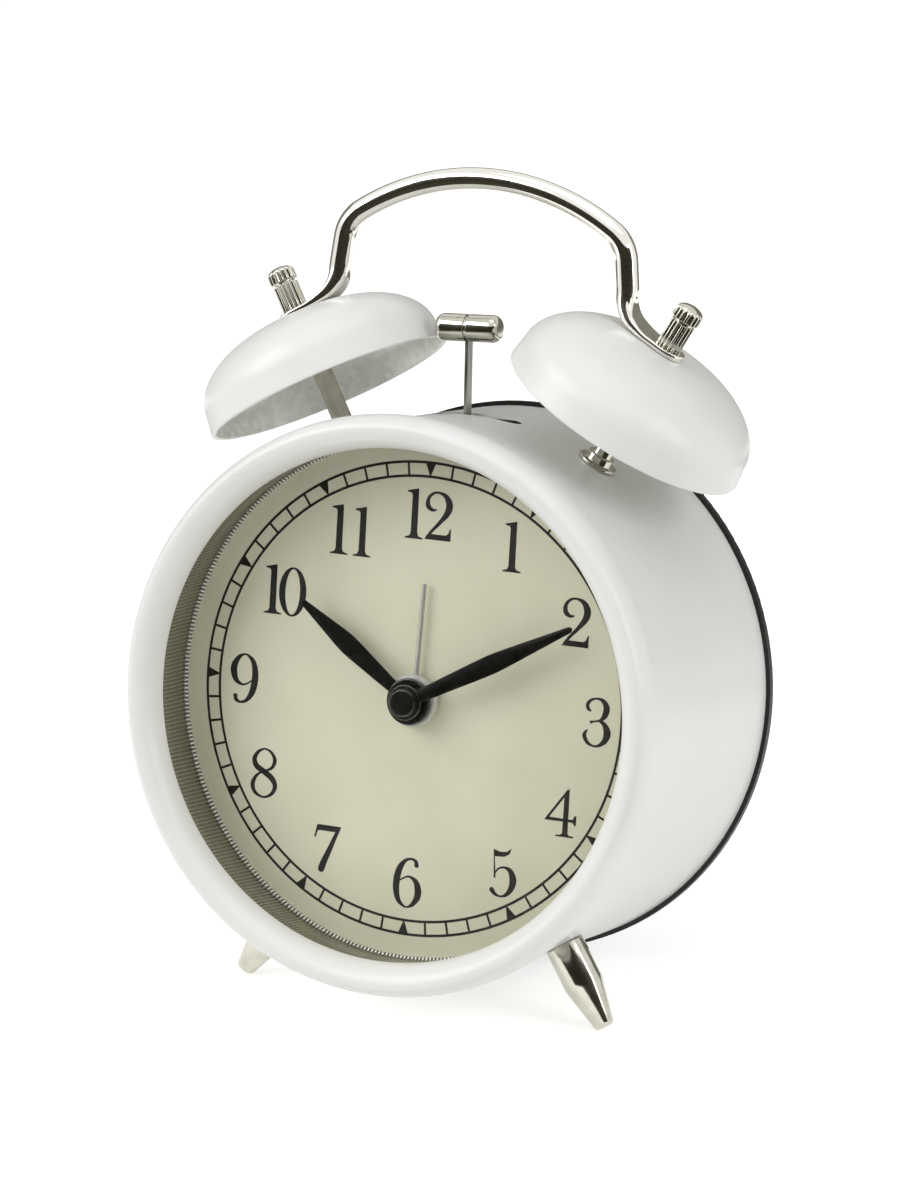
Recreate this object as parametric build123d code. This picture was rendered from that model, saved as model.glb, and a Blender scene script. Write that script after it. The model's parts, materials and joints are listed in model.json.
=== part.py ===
from build123d import *
import os
from math import acos, asin, atan2, cos, degrees, pi, radians, sin, sqrt, tan

# Twin-bell alarm clock, in millimetres.
# Every piece is drawn upright in the case frame: X to the right, Y from the dial into the case,
# Z to twelve o'clock, with the origin at the centre of the dial's face. At the end the whole clock is
# tipped back until it stands on its two feet and on the rim of its back cover.

os.makedirs("parts", exist_ok=True)

# Fits and clearances
case_fit = 0.1
inner_fit = 0.2
shaft_fit = 0.05
seat_gap = 0.02
hole_gap = 0.15
gear_backlash = 0.1
gear_root_depth = 1.25

# Case drum, a steel tube
drum_r = 48.2
drum_wall = 0.8
drum_rear = 38.6
drum_cut = 3.0

# Front bezel and glass
lens_gap = 9.4
lens_thickness = 1.8
bezel_skirt_wall = 1.3
bezel_band = 5.7
bezel_wall = 0.9
bezel_bulge = 3.3
bezel_lip = 2.3
bezel_skirt = 2.5
bezel_edge_round = 0.4

# Dial, the ring in front of it and the carrier behind it
reflector_front_wall = 2.8
reflector_rear_wall = 2.2
dial_thickness = 0.6
carrier_thickness = 1.8
carrier_rim_height = 2.0
carrier_rim_wall = 1.6
carrier_window_r = 5.5
carrier_window_inset = 11.7
carrier_window_angles = (-8.0, 62.0, 118.0, 188.0)

# Movement shells
movement_width = 52.0
movement_height = 46.0
movement_drop = 6.0
movement_depth = 11.0
movement_corner = 5.0
shell_wall = 1.2
shell_split = 5.6
bush_wall = 1.0
bush_reach = 0.4
column_r = 2.4
column_inset = 3.6

# Arbors in the middle of the dial, one inside the other
minute_arbor_r = 1.2
hour_tube_wall = 0.7
alarm_tube_wall = 0.75
arbor_pivot_r = 0.6
pivot_depth = 0.8
minute_boss_r = 2.6

# Motion work, all wheels of one module but the alarm pair
work_module = 0.32
minute_teeth = 15
setting_teeth = 45
setting_pinion_teeth = 12
hour_teeth = 48
alarm_module = 0.4
alarm_teeth = 40
alarm_pinion_teeth = 20
wheel_thickness = 1.0
wheel_gap = 0.6
pinion_overlap = 0.2
pressure_angle = 20.0
time_knob_angle = -20.0
alarm_knob_angle = 200.0

# Hands
minute_length = 34.2
minute_width = 3.1
minute_hub_r = 2.4
minute_hub_front = -6.1
minute_hub_rear = -4.2
minute_cap_r = 1.95
minute_cap_height = 1.0
minute_cap_round = 0.6
minute_plate = -4.4
hour_length = 26.1
hour_width = 3.5
hour_hub_r = 3.57
hour_hub_front = -3.8
hour_hub_rear = -2.8
hour_groove_r = 2.8
hour_groove_width = 0.3
hour_groove_depth = 0.25
hour_plate = -3.1
alarm_length = 20.2
alarm_width = 0.9
alarm_hub_r = 4.28
alarm_hub_front = -2.5
alarm_hub_rear = -0.7
alarm_plate = -1.1
hand_thickness = 0.45
hand_tip_width = 0.9
hand_root_width = 2.0
hand_belly = 0.5
hub_round = 0.35
minute_angle = 61.9
hour_angle = 304.8
alarm_angle = 2.0

# Back cover, with the battery bay moulded into it
cover_overhang = 0.8
cover_thickness = 2.0
cover_edge_round = 0.8
spigot_wall = 1.4
spigot_length = 4.0
cover_post_r = 3.2
cover_post_inset = 6.2
cover_post_angles = (30.0, 150.0, 270.0)
screw_r = 1.25
screw_head_r = 2.3
screw_head_height = 1.1
screw_bite = 9.0
knob_dish_r = 8.2
knob_dish_depth = 0.8

# Battery, a standard AA cell, and its bay
cell_r = 7.1
cell_length = 49.2
cell_nub_r = 2.7
cell_nub_length = 1.2
cell_place_z = -22.0
cell_gap = 0.4
bay_wall = 1.2
negative_room = 3.6
positive_room = 1.0
contact_thickness = 0.4
contact_width = 9.0
contact_height = 10.0
contact_bow = 2.4
door_ledge = 2.2
door_thickness = 1.2
door_fit = 0.2
door_corner = 2.0
door_grip_count = 5
door_grip_pitch = 1.8
door_grip_width = 0.8
door_grip_height = 0.5

# Knobs and switch on the back
knob_r = 6.6
knob_height = 5.0
knob_rise = 0.6
knob_face_r = 4.6
knob_face_depth = 0.45
knob_flute_count = 20
knob_flute_r = 0.5
knob_shaft_r = 1.4
knob_grip_depth = 3.6
switch_place_z = 16.0
switch_travel = 5.0
switch_width = 3.0
switch_length = 4.0
switch_height = 1.6
switch_foot_thickness = 1.0
switch_foot_margin = 2.0
switch_groove_width = 1.0
switch_groove_depth = 0.8

# Bells and their posts, in one plane across the case
bell_plane = 15.0
bell_angle = 29.5
bell_lift = 9.2
bell_r = 22.3
bell_height = 13.9
bell_wall = 0.9
bell_skirt = 3.6
bell_flare = 0.5
bell_flat_r = 4.2
post_r = 1.75
post_stud_r = 1.3
post_collar_r = 3.5
post_collar_height = 0.6
post_nut_r = 2.4
post_nut_height = 1.3
post_tail = 4.4
nut_across_flats = 6.0
nut_height = 2.2

# Finials, knurled nuts with a groove below a domed cap
finial_r = 2.5
finial_shank_r = 2.25
finial_height = 8.2
finial_shank = 4.9
finial_groove_width = 0.5
finial_groove_depth = 0.75
finial_dome = 1.3
finial_bore_depth = 5.0

# Carry handle, a bent rod with flattened ends
rod_r = 1.95
handle_rise = 17.4
handle_arch_r = 44.0
handle_shoulder_r = 6.6
handle_leg_lean = 6.5
handle_bend_r = 5.0
handle_tab_reach = 9.4
handle_flat_run = 3.0
tab_thickness = 1.2
tab_width = 6.6
tab_start = 3.6
tab_edge_round = 0.54

# Hammer
pivot_rise = 3.0
head_lift = 2.06
head_r = 2.4
head_round = 0.9
head_groove_width = 0.5
head_groove_depth = 0.3
head_pocket = 2.2
strip_thickness = 0.55
strip_width = 2.0
hammer_travel = 3.8
strike_gap = 1.0
lever_thickness = 2.0
lever_hub_r = 3.0
lever_neck_width = 4.2
lever_head_width = 9.0
lever_head_length = 8.0
lever_head_corner = 2.0
lever_socket = 4.0
pin_r = 1.2
pin_head_r = 2.1
pin_head_height = 0.5
slot_length = 18.0
slot_width = 3.6

# Bell motor, its eccentric and its bracket
lever_reach = 13.0
motor_r = 8.0
motor_length = 14.0
motor_nose_r = 2.6
motor_nose_height = 0.8
motor_shaft_r = 0.75
motor_round = 1.0
eccentric_r = 2.2
eccentric_thickness = 0.5
eccentric_pin_r = 1.0
eccentric_play = 0.3
bracket_thickness = 1.2
bracket_gap = 0.25
bracket_wing_width = 42.0
bracket_wing_height = 10.0
bracket_tower_width = 20.0
bracket_corner = 2.5
standoff_r = 3.0
standoff_x = 17.0
standoff_gap = 2.0

# Feet
foot_plane = 8.4
foot_angle = 33.3
foot_length = 15.8
foot_r = 3.45
foot_barrel = 7.6
foot_tip_r = 1.65
foot_tip_round = 0.7
foot_stud_r = 1.5
foot_stud_length = 4.2
lean_rounds = 12

# Circuit board, drive coil and stator in the lower half of the movement
board_width = 30.0
board_height = 9.0
board_thickness = 0.8
board_margin = 3.0
coil_r = 2.6
coil_length = 16.0
coil_flange_r = 3.2
coil_flange_width = 1.0
coil_core_r = 1.0
stator_thickness = 1.0
stator_reach = 4.0
stator_height = 8.0

# Radii and heights that follow the drum and the movement
drum_inner_r = drum_r - drum_wall
insert_r = drum_inner_r - inner_fit
bezel_r = drum_r + case_fit + bezel_skirt_wall
bezel_inner_r = bezel_r - bezel_band
reflector_front_r = insert_r - reflector_front_wall
reflector_rear_r = insert_r - reflector_rear_wall
cover_r = drum_r + cover_overhang
cover_post_place = insert_r - cover_post_inset
carrier_window_place = insert_r - carrier_window_inset
foot_place = drum_r + foot_length
movement_top = movement_height / 2 - movement_drop
board_place_z = board_margin + board_height / 2 - movement_height / 2 - movement_drop
standoff_z = movement_top + standoff_r + standoff_gap
pivot_place = movement_top + pivot_rise
motor_place = pivot_place + lever_reach

# Places along the case's depth
lens_rear = -lens_gap
lens_front = lens_rear - lens_thickness
bezel_crest = lens_front - bezel_lip
bezel_rear = bezel_crest + bezel_skirt
drum_front = bezel_crest + case_fit
carrier_front = dial_thickness
carrier_rear = carrier_front + carrier_thickness
movement_front = carrier_rear
movement_rear = movement_front + movement_depth
movement_joint = movement_front + shell_split
movement_inside_front = movement_front + shell_wall
movement_inside_rear = movement_rear - shell_wall
cover_front = drum_rear
cover_rear = cover_front + cover_thickness

# Radii of the nested arbors
hour_tube_inner_r = minute_arbor_r + shaft_fit
hour_tube_r = hour_tube_inner_r + hour_tube_wall
alarm_tube_inner_r = hour_tube_r + shaft_fit
alarm_tube_r = alarm_tube_inner_r + alarm_tube_wall
bush_inner_r = alarm_tube_r + shaft_fit
bush_r = bush_inner_r + bush_wall

# Levels of the wheels, from the alarm wheel at the front to the minute pinion at the rear
alarm_wheel_front = movement_inside_front + wheel_gap
hour_wheel_front = alarm_wheel_front + wheel_thickness + wheel_gap
minute_wheel_front = hour_wheel_front + wheel_thickness + wheel_gap
wheel_stack_rear = minute_wheel_front + wheel_thickness

# Axes of the two knobs, set by the centre distance of their gear pairs
setting_distance = work_module * (minute_teeth + setting_teeth) / 2
alarm_distance = alarm_module * (alarm_teeth + alarm_pinion_teeth) / 2
time_axis_x = setting_distance * cos(radians(time_knob_angle))
time_axis_z = setting_distance * sin(radians(time_knob_angle))
alarm_axis_x = alarm_distance * cos(radians(alarm_knob_angle))
alarm_axis_z = alarm_distance * sin(radians(alarm_knob_angle))

# Battery bay
cell_axis_y = cover_rear - door_thickness - cell_gap - cell_r
bay_half_height = cell_r + cell_gap
bay_front = cell_axis_y - cell_r - cell_gap
bay_left = -cell_length / 2 - negative_room
bay_right = cell_length / 2 + cell_nub_length + positive_room
bay_length = bay_right - bay_left
bay_middle = (bay_left + bay_right) / 2

# Bells, handle and hammer
bell_rim_place = drum_r + bell_lift
bell_crown_place = bell_rim_place + bell_height
bell_rim_x = bell_rim_place * sin(radians(bell_angle)) - bell_r * cos(radians(bell_angle))
bell_rim_z = bell_rim_place * cos(radians(bell_angle)) + bell_r * sin(radians(bell_angle))
handle_top = bell_crown_place + handle_rise
head_place = bell_rim_z + head_lift
lever_front = bell_plane - lever_thickness / 2
lever_rear = bell_plane + lever_thickness / 2
eccentric_front = lever_rear + bracket_gap
bracket_front = eccentric_front + eccentric_thickness + bracket_gap
bracket_rear = bracket_front + bracket_thickness
hammer_swing = 2 * degrees(asin(hammer_travel / 2 / (head_place - pivot_place)))
eccentric_throw = (motor_place - pivot_place) * sin(radians(hammer_swing / 2))
head_length = 2 * (bell_rim_x - strike_gap) - hammer_travel
tab_place = bell_crown_place + tab_thickness / 2
finial_place = bell_crown_place + tab_thickness
rod_place = bell_crown_place + rod_r


def turned(*edges):
    """A solid turned about the case axis from an outline of (radius, depth)."""
    return revolve(make_face(edges), Axis.Y)


def turned_outline(*points):
    """A solid turned about the case axis from straight runs of (radius, depth)."""
    return revolve(make_face(Polyline(*points, close=True)), Axis.Y)


def spun(*edges):
    """A solid turned about Z from an outline of (radius, height)."""
    return revolve(Plane.XZ * make_face(edges), Axis.Z)


def slab(sketch, front, rear):
    """A plate across the case: a sketch of X and Z, from one depth to another."""
    return extrude(Plane.XZ.offset(-rear) * sketch, rear - front)


def rod(radius, front, rear, x=0.0, z=0.0):
    """A round bar along the case axis."""
    return slab(Pos(x, z) * Circle(radius), front, rear)


def tube(outer, inner, front, rear, x=0.0, z=0.0):
    """A round tube along the case axis."""
    return slab(Pos(x, z) * (Circle(outer) - Circle(inner)), front, rear)


def radial(angle, depth):
    """The place of a piece drawn along Z that stands out from the case axis at an angle from the top."""
    return Pos(0, depth, 0) * Rot(0, angle, 0)


def polar(place, angle):
    """X and Z of a point at a distance from the case axis, at an angle from X."""
    return place * cos(radians(angle)), place * sin(radians(angle))


def gear(teeth, module, turn):
    """A gear's outline: involute flanks in two straight runs, with a tooth at the angle turn."""
    pitch_r = teeth * module / 2
    base_r = pitch_r * cos(radians(pressure_angle))
    root_r = pitch_r - gear_root_depth * module
    tip_r = pitch_r + module
    half_tooth = (pi * module - gear_backlash) / 4 / pitch_r

    def half_angle(r):
        slope = acos(min(1.0, base_r / r))
        start = radians(pressure_angle)
        return half_tooth + (tan(start) - start) - (tan(slope) - slope)

    points = []
    for tooth in range(teeth):
        middle = radians(turn) + 2 * pi * tooth / teeth
        for side, radii in ((-1, (root_r, pitch_r, tip_r)), (1, (tip_r, pitch_r, root_r))):
            for r in radii:
                angle = middle + side * half_angle(r)
                points.append((r * cos(angle), r * sin(angle)))
    return Polygon(*points, align=None)


# Case, front to back

def case_drum():
    """The tube, with the hammer's slot in its top and holes for the bell posts and feet."""
    drum = turned_outline(
        (drum_inner_r, drum_front), (drum_r, drum_front), (drum_r, drum_rear), (drum_inner_r, drum_rear)
    )
    slot = extrude(SlotOverall(slot_length, slot_width), drum_cut, both=True)
    drum -= Pos(0, bell_plane, drum_r) * slot
    for side in (-1, 1):
        post_hole = Pos(0, 0, drum_r) * Cylinder(post_r + hole_gap, 2 * drum_cut)
        foot_hole = Pos(0, 0, drum_r) * Cylinder(foot_stud_r + hole_gap, 2 * drum_cut)
        drum -= radial(side * bell_angle, bell_plane) * post_hole
        drum -= radial(side * (180 - foot_angle), foot_plane) * foot_hole
    return drum


def front_bezel():
    """A rolled ring: a skirt over the drum, a rounded front and a lip that the glass seats on."""
    skirt_inner_r = drum_r + case_fit
    lip_r = bezel_inner_r + bezel_wall
    middle = bezel_r - bezel_band / 2
    hollow_middle = (lip_r + skirt_inner_r) / 2
    hollow_half = (skirt_inner_r - lip_r) / 2
    hollow_bulge = bezel_bulge - bezel_wall
    ring = turned(
        Line((skirt_inner_r, bezel_rear), (bezel_r, bezel_rear)),
        Line((bezel_r, bezel_rear), (bezel_r, bezel_crest)),
        EllipticalCenterArc((middle, bezel_crest), bezel_band / 2, bezel_bulge, 180, arc_size=180),
        Line((bezel_inner_r, bezel_crest), (bezel_inner_r, lens_front)),
        Line((bezel_inner_r, lens_front), (lip_r, lens_front)),
        Line((lip_r, lens_front), (lip_r, bezel_crest)),
        EllipticalCenterArc((hollow_middle, bezel_crest), hollow_half, hollow_bulge, 180, arc_size=180),
        Line((skirt_inner_r, bezel_crest), (skirt_inner_r, bezel_rear)),
    )
    rear_edge = ring.edges().filter_by(GeomType.CIRCLE).sort_by(SortBy.RADIUS)[-2:].sort_by(Axis.Y)[-1]
    return fillet(rear_edge, bezel_edge_round)


def lens():
    """Flat glass, seated on the bezel's lip."""
    return rod(insert_r, lens_front, lens_rear)


def reflector_ring():
    """A deep ring from the glass to the dial, a little wider at the dial."""
    return turned_outline(
        (reflector_front_r, lens_rear), (insert_r, lens_rear), (insert_r, 0), (reflector_rear_r, 0)
    )


def dial():
    """A thin disc with a hole for the movement's bush."""
    return tube(insert_r, bush_r + hole_gap, 0, dial_thickness)


def movement_corners():
    """X and Z of the four screw columns of the movement."""
    x = movement_width / 2 - column_inset
    z = movement_height / 2 - column_inset
    return [(sx * x, sz * z - movement_drop) for sx in (-1, 1) for sz in (-1, 1)]


def dial_carrier():
    """A moulded plate behind the dial with a rim, windows, posts for the cover and the bracket."""
    carrier = rod(insert_r, carrier_front, carrier_rear)
    carrier += tube(insert_r, insert_r - carrier_rim_wall, carrier_rear, carrier_rear + carrier_rim_height)
    carrier -= rod(bush_r + hole_gap, carrier_front, carrier_rear)
    for angle in carrier_window_angles:
        x, z = polar(carrier_window_place, angle)
        carrier -= rod(carrier_window_r, carrier_front, carrier_rear, x, z)
    for angle in cover_post_angles:
        x, z = polar(cover_post_place, angle)
        carrier += rod(cover_post_r, carrier_rear, cover_front, x, z)
        carrier -= rod(screw_r + shaft_fit, cover_front - screw_bite, cover_front, x, z)
    for x in (-standoff_x, standoff_x):
        carrier += rod(standoff_r, carrier_rear, bracket_front, x, standoff_z)
        carrier -= rod(screw_r + shaft_fit, bracket_front - screw_bite, bracket_front, x, standoff_z)
    for x, z in movement_corners():
        carrier -= rod(screw_r + shaft_fit, carrier_front, carrier_rear, x, z)
    return carrier


# Movement

def shell_outline(inset):
    """The movement's rounded outline, drawn in by an inset."""
    outline = RectangleRounded(
        movement_width - 2 * inset, movement_height - 2 * inset, movement_corner - inset
    )
    return Pos(0, -movement_drop) * outline


def shell_columns(front, rear):
    """The four screw columns, as one sketch carried through the depth."""
    columns = [Pos(x, z) * Circle(column_r) for x, z in movement_corners()]
    return slab(Sketch() + columns, front, rear)


def shell_screw_holes(front, rear):
    """Clearance holes down the four columns."""
    holes = [Pos(x, z) * Circle(screw_r + hole_gap) for x, z in movement_corners()]
    return slab(Sketch() + holes, front, rear)


def movement_front_shell():
    """The front half: a tray with the hollow bush that goes through the dial."""
    shell = slab(shell_outline(0), movement_front, movement_joint)
    shell -= slab(shell_outline(shell_wall), movement_inside_front, movement_joint)
    shell += shell_columns(movement_inside_front, movement_joint)
    shell -= shell_screw_holes(movement_front, movement_joint)
    shell += rod(bush_r, -bush_reach, movement_inside_front)
    shell -= rod(bush_inner_r, -bush_reach, movement_inside_front)
    pivot_floor = movement_inside_front - pivot_depth
    for x, z in ((time_axis_x, time_axis_z), (alarm_axis_x, alarm_axis_z)):
        shell -= rod(arbor_pivot_r + shaft_fit, pivot_floor, movement_inside_front, x, z)
    return shell


def movement_rear_shell():
    """The rear half, with the minute arbor's bearing and holes for the two knob shafts."""
    shell = slab(shell_outline(0), movement_joint, movement_rear)
    shell -= slab(shell_outline(shell_wall), movement_joint, movement_inside_rear)
    shell += shell_columns(movement_joint, movement_inside_rear)
    shell -= shell_screw_holes(movement_joint, movement_rear)
    shell += rod(minute_boss_r, wheel_stack_rear + wheel_gap, movement_inside_rear)
    shell -= rod(minute_arbor_r + shaft_fit, wheel_stack_rear + wheel_gap, movement_inside_rear)
    for x, z in ((time_axis_x, time_axis_z), (alarm_axis_x, alarm_axis_z)):
        shell -= rod(knob_shaft_r + shaft_fit, movement_inside_rear, movement_rear, x, z)
    return shell


def alarm_wheel():
    """The alarm wheel on the outer tube, with a tooth gap towards its pinion."""
    turn = alarm_knob_angle + 180 / alarm_teeth
    rear = alarm_wheel_front + wheel_thickness
    wheel = slab(gear(alarm_teeth, alarm_module, turn), alarm_wheel_front, rear)
    wheel += rod(alarm_tube_r, alarm_hub_front, alarm_wheel_front)
    wheel -= rod(alarm_tube_inner_r, alarm_hub_front, rear)
    return wheel


def hour_wheel():
    """The hour wheel on the middle tube, with a tooth gap towards the setting pinion."""
    turn = time_knob_angle + 180 / hour_teeth
    rear = hour_wheel_front + wheel_thickness
    wheel = slab(gear(hour_teeth, work_module, turn), hour_wheel_front, rear)
    wheel += rod(hour_tube_r, hour_hub_front, hour_wheel_front)
    wheel -= rod(hour_tube_inner_r, hour_hub_front, rear)
    return wheel


def minute_arbor():
    """The minute arbor and its pinion, with a tooth gap towards the setting wheel."""
    turn = time_knob_angle + 180 / minute_teeth
    arbor = rod(minute_arbor_r, minute_hub_front + hand_thickness, movement_inside_rear - wheel_gap)
    arbor += slab(gear(minute_teeth, work_module, turn), minute_wheel_front, wheel_stack_rear)
    return arbor


def setting_arbor():
    """The time knob's shaft with the setting wheel and the pinion that drives the hour wheel."""
    turn = time_knob_angle + 180
    pinion_front = hour_wheel_front - pinion_overlap
    pinion_rear = hour_wheel_front + wheel_thickness + pinion_overlap
    pinion = gear(setting_pinion_teeth, work_module, turn)
    arbor = slab(pinion, pinion_front, pinion_rear)
    arbor += rod(arbor_pivot_r, movement_inside_front - pivot_depth + seat_gap, pinion_front)
    arbor += slab(gear(setting_teeth, work_module, turn), minute_wheel_front, wheel_stack_rear)
    arbor += rod(knob_shaft_r, pinion_rear, minute_wheel_front)
    arbor += rod(knob_shaft_r, wheel_stack_rear, cover_rear + knob_rise + knob_grip_depth)
    return Pos(time_axis_x, 0, time_axis_z) * arbor


def alarm_arbor():
    """The alarm knob's shaft with its pinion."""
    turn = alarm_knob_angle + 180
    pinion_front = alarm_wheel_front - pinion_overlap
    pinion_rear = alarm_wheel_front + wheel_thickness + pinion_overlap
    arbor = slab(gear(alarm_pinion_teeth, alarm_module, turn), pinion_front, pinion_rear)
    arbor += rod(arbor_pivot_r, movement_inside_front - pivot_depth + seat_gap, pinion_front)
    arbor += rod(knob_shaft_r, pinion_rear, cover_rear + knob_rise + knob_grip_depth)
    return Pos(alarm_axis_x, 0, alarm_axis_z) * arbor


def circuit_board():
    """The board, lying on the front shell's floor."""
    board = Pos(0, board_place_z) * Rectangle(board_width, board_height)
    return slab(board, movement_inside_front, movement_inside_front + board_thickness)


def coil_axis():
    """Depth and height of the coil's axis: on the board, between it and the stator."""
    return movement_inside_front + board_thickness + coil_flange_r, board_place_z


def drive_coil():
    """The wound bobbin of the step motor, lying across the board, with its core's ends bare."""
    half = coil_length / 2
    outline = Polyline(
        (0, -half - stator_reach), (coil_core_r, -half - stator_reach), (coil_core_r, -half),
        (coil_flange_r, -half), (coil_flange_r, -half + coil_flange_width),
        (coil_r, -half + coil_flange_width), (coil_r, half - coil_flange_width),
        (coil_flange_r, half - coil_flange_width), (coil_flange_r, half),
        (coil_core_r, half), (coil_core_r, half + stator_reach), (0, half + stator_reach), close=True
    )
    depth, height = coil_axis()
    return Pos(0, depth, height) * Rot(0, 90, 0) * revolve(Plane.XZ * make_face(outline), Axis.Z)


def stator():
    """The iron yoke: a strip from one end of the core to the other, with an eye on each end."""
    depth, height = coil_axis()
    half = coil_length / 2
    eye = Pos(0, height) * Rectangle(stator_reach, stator_height)
    yoke = slab(eye, depth - coil_core_r - stator_thickness, movement_inside_rear)
    arms = [Pos(side * (half + stator_reach / 2), 0, 0) * yoke for side in (-1, 1)]
    bridge = Pos(0, height) * Rectangle(coil_length, stator_height)
    iron = slab(bridge, movement_inside_rear - stator_thickness, movement_inside_rear)
    iron += arms
    bore = Cylinder(coil_core_r + shaft_fit, coil_length + 2 * stator_reach)
    return iron - Pos(0, depth, height) * Rot(0, 90, 0) * bore


# Hands

def leaf(length, width, root_width):
    """A leaf-shaped blade along Z: two arcs from the hub to a blunt tip."""
    root = root_width / 2
    belly = width / 2
    tip = hand_tip_width / 2
    middle = hand_belly * length
    return make_face([
        ThreePointArc((-root, 0), (-belly, middle), (-tip, length)),
        Line((-tip, length), (tip, length)),
        ThreePointArc((root, 0), (belly, middle), (tip, length)),
        Line((-root, 0), (root, 0)),
    ])


def hub_edge(solid):
    """The front rim of a hub, to be rounded."""
    return solid.edges().filter_by(GeomType.CIRCLE).group_by(Axis.Y)[0].sort_by(SortBy.RADIUS)[-1]


def minute_hand():
    """The long blade, on a cap that covers the arbor's end."""
    step = minute_hub_front + minute_cap_height
    hub = rod(minute_hub_r, step, minute_hub_rear)
    hub = fillet(hub_edge(hub), hub_round)
    cap = rod(minute_cap_r, minute_hub_front, minute_hub_rear)
    hub += fillet(hub_edge(cap), minute_cap_round)
    blade = leaf(minute_length, minute_width, hand_root_width)
    hand = hub + slab(blade, minute_plate - hand_thickness, minute_plate)
    hand -= rod(minute_arbor_r + seat_gap, minute_hub_front + hand_thickness, minute_hub_rear)
    return Rot(0, minute_angle, 0) * hand


def hour_hand():
    """The short blade, on a hub pressed on the hour tube."""
    hub = rod(hour_hub_r, hour_hub_front, hour_hub_rear)
    hub = fillet(hub_edge(hub), hub_round)
    groove_outer_r = hour_groove_r + hour_groove_width / 2
    groove_inner_r = hour_groove_r - hour_groove_width / 2
    hub -= tube(groove_outer_r, groove_inner_r, hour_hub_front, hour_hub_front + hour_groove_depth)
    blade = leaf(hour_length, hour_width, hand_root_width)
    hand = hub + slab(blade, hour_plate - hand_thickness, hour_plate)
    hand -= rod(hour_tube_r + seat_gap, hour_hub_front, hour_hub_rear)
    return Rot(0, hour_angle, 0) * hand


def alarm_hand():
    """A straight bar on a hub pressed on the alarm tube."""
    hub = rod(alarm_hub_r, alarm_hub_front, alarm_hub_rear)
    hub = fillet(hub_edge(hub), hub_round)
    bar = Pos(0, alarm_length / 2) * Rectangle(alarm_width, alarm_length)
    hand = hub + slab(bar, alarm_plate - hand_thickness, alarm_plate)
    hand -= rod(alarm_tube_r + seat_gap, alarm_hub_front, alarm_hub_rear)
    return Rot(0, alarm_angle, 0) * hand


# Back cover, battery and controls

def bay_outline(margin):
    """The battery bay's outline, widened by a margin."""
    outline = Rectangle(bay_length + 2 * margin, 2 * bay_half_height + 2 * margin)
    return Pos(bay_middle, cell_place_z) * outline


def door_outline(gap):
    """The battery door's rounded outline, with a gap round it."""
    width = bay_length + 2 * door_ledge - 2 * gap
    height = 2 * bay_half_height + 2 * door_ledge - 2 * gap
    return Pos(bay_middle, cell_place_z) * RectangleRounded(width, height, door_corner)


def switch_slot():
    """The slot that the alarm switch slides in."""
    length = switch_length + switch_travel + 2 * hole_gap
    return Pos(0, switch_place_z) * Rectangle(length, switch_width + 2 * hole_gap)


def back_cover():
    """A moulded cover: a rim behind the drum, a spigot inside it, the bay, and holes for the controls."""
    cover = rod(cover_r, cover_front, cover_rear)
    cover = fillet(cover.edges().group_by(Axis.Y)[-1], cover_edge_round)
    cover += tube(insert_r, insert_r - spigot_wall, cover_front - spigot_length, cover_front)
    cover += slab(bay_outline(bay_wall), bay_front - bay_wall, cover_front)
    cover -= slab(bay_outline(0), bay_front, cover_rear)
    cover -= slab(door_outline(0), cover_rear - door_thickness, cover_rear)
    for x, z in ((time_axis_x, time_axis_z), (alarm_axis_x, alarm_axis_z)):
        cover -= rod(knob_dish_r, cover_rear - knob_dish_depth, cover_rear, x, z)
        cover -= rod(knob_shaft_r + shaft_fit, cover_front, cover_rear, x, z)
    for angle in cover_post_angles:
        x, z = polar(cover_post_place, angle)
        cover -= rod(screw_r + hole_gap, cover_front, cover_rear, x, z)
        cover -= rod(screw_head_r + hole_gap, cover_rear - screw_head_height, cover_rear, x, z)
    return cover - slab(switch_slot(), cover_front, cover_rear)


def battery_door():
    """A plate in the cover's ledge, with ridges for the thumb."""
    door = slab(door_outline(door_fit), cover_rear - door_thickness, cover_rear)
    for ridge in range(door_grip_count):
        offset = bay_right - door_grip_pitch * (ridge + 1)
        grip = Pos(offset, cell_place_z) * SlotOverall(bay_half_height, door_grip_width, rotation=90)
        door += slab(grip, cover_rear, cover_rear + door_grip_height)
    return door


def battery_cell():
    """A standard AA cell lying across the bay."""
    half = cell_length / 2
    outline = Polyline(
        (0, -half), (cell_r, -half), (cell_r, half), (cell_nub_r, half),
        (cell_nub_r, half + cell_nub_length), (0, half + cell_nub_length), close=True
    )
    cell = revolve(Plane.XZ * make_face(outline), Axis.Z)
    return Pos(0, cell_axis_y, cell_place_z) * Rot(0, 90, 0) * cell


def negative_contact():
    """A bowed leaf spring at the cell's flat end, with its foot on the bay's wall."""
    inner = bay_left + contact_thickness
    low = -contact_height / 2
    bow = ThreePointArc((inner, low), (inner + contact_bow, 0), (inner, -low))
    back = ThreePointArc((bay_left, low), (bay_left + contact_bow, 0), (bay_left, -low))
    ends = [Line((bay_left, low), (inner, low)), Line((bay_left, -low), (inner, -low))]
    leaf_face = make_face([bow, back] + ends)
    strip = slab(leaf_face, -contact_width / 2, contact_width / 2)
    return Pos(0, cell_axis_y, cell_place_z) * strip


def positive_contact():
    """A flat plate at the cell's nub."""
    plate = Box(positive_room - seat_gap, contact_width, contact_height)
    return Pos(bay_right - (positive_room - seat_gap) / 2, cell_axis_y, cell_place_z) * plate


def knob(x, z):
    """A fluted knob with a blind hole for its shaft."""
    front = cover_rear + knob_rise
    outline = Circle(knob_r)
    for flute in range(knob_flute_count):
        px, pz = polar(knob_r, 360 * flute / knob_flute_count)
        outline -= Pos(px, pz) * Circle(knob_flute_r)
    grip = slab(outline, front, front + knob_height)
    grip -= rod(knob_shaft_r + seat_gap, front, front + knob_grip_depth)
    grip -= rod(knob_face_r, front + knob_height - knob_face_depth, front + knob_height)
    return Pos(x, 0, z) * grip


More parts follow.
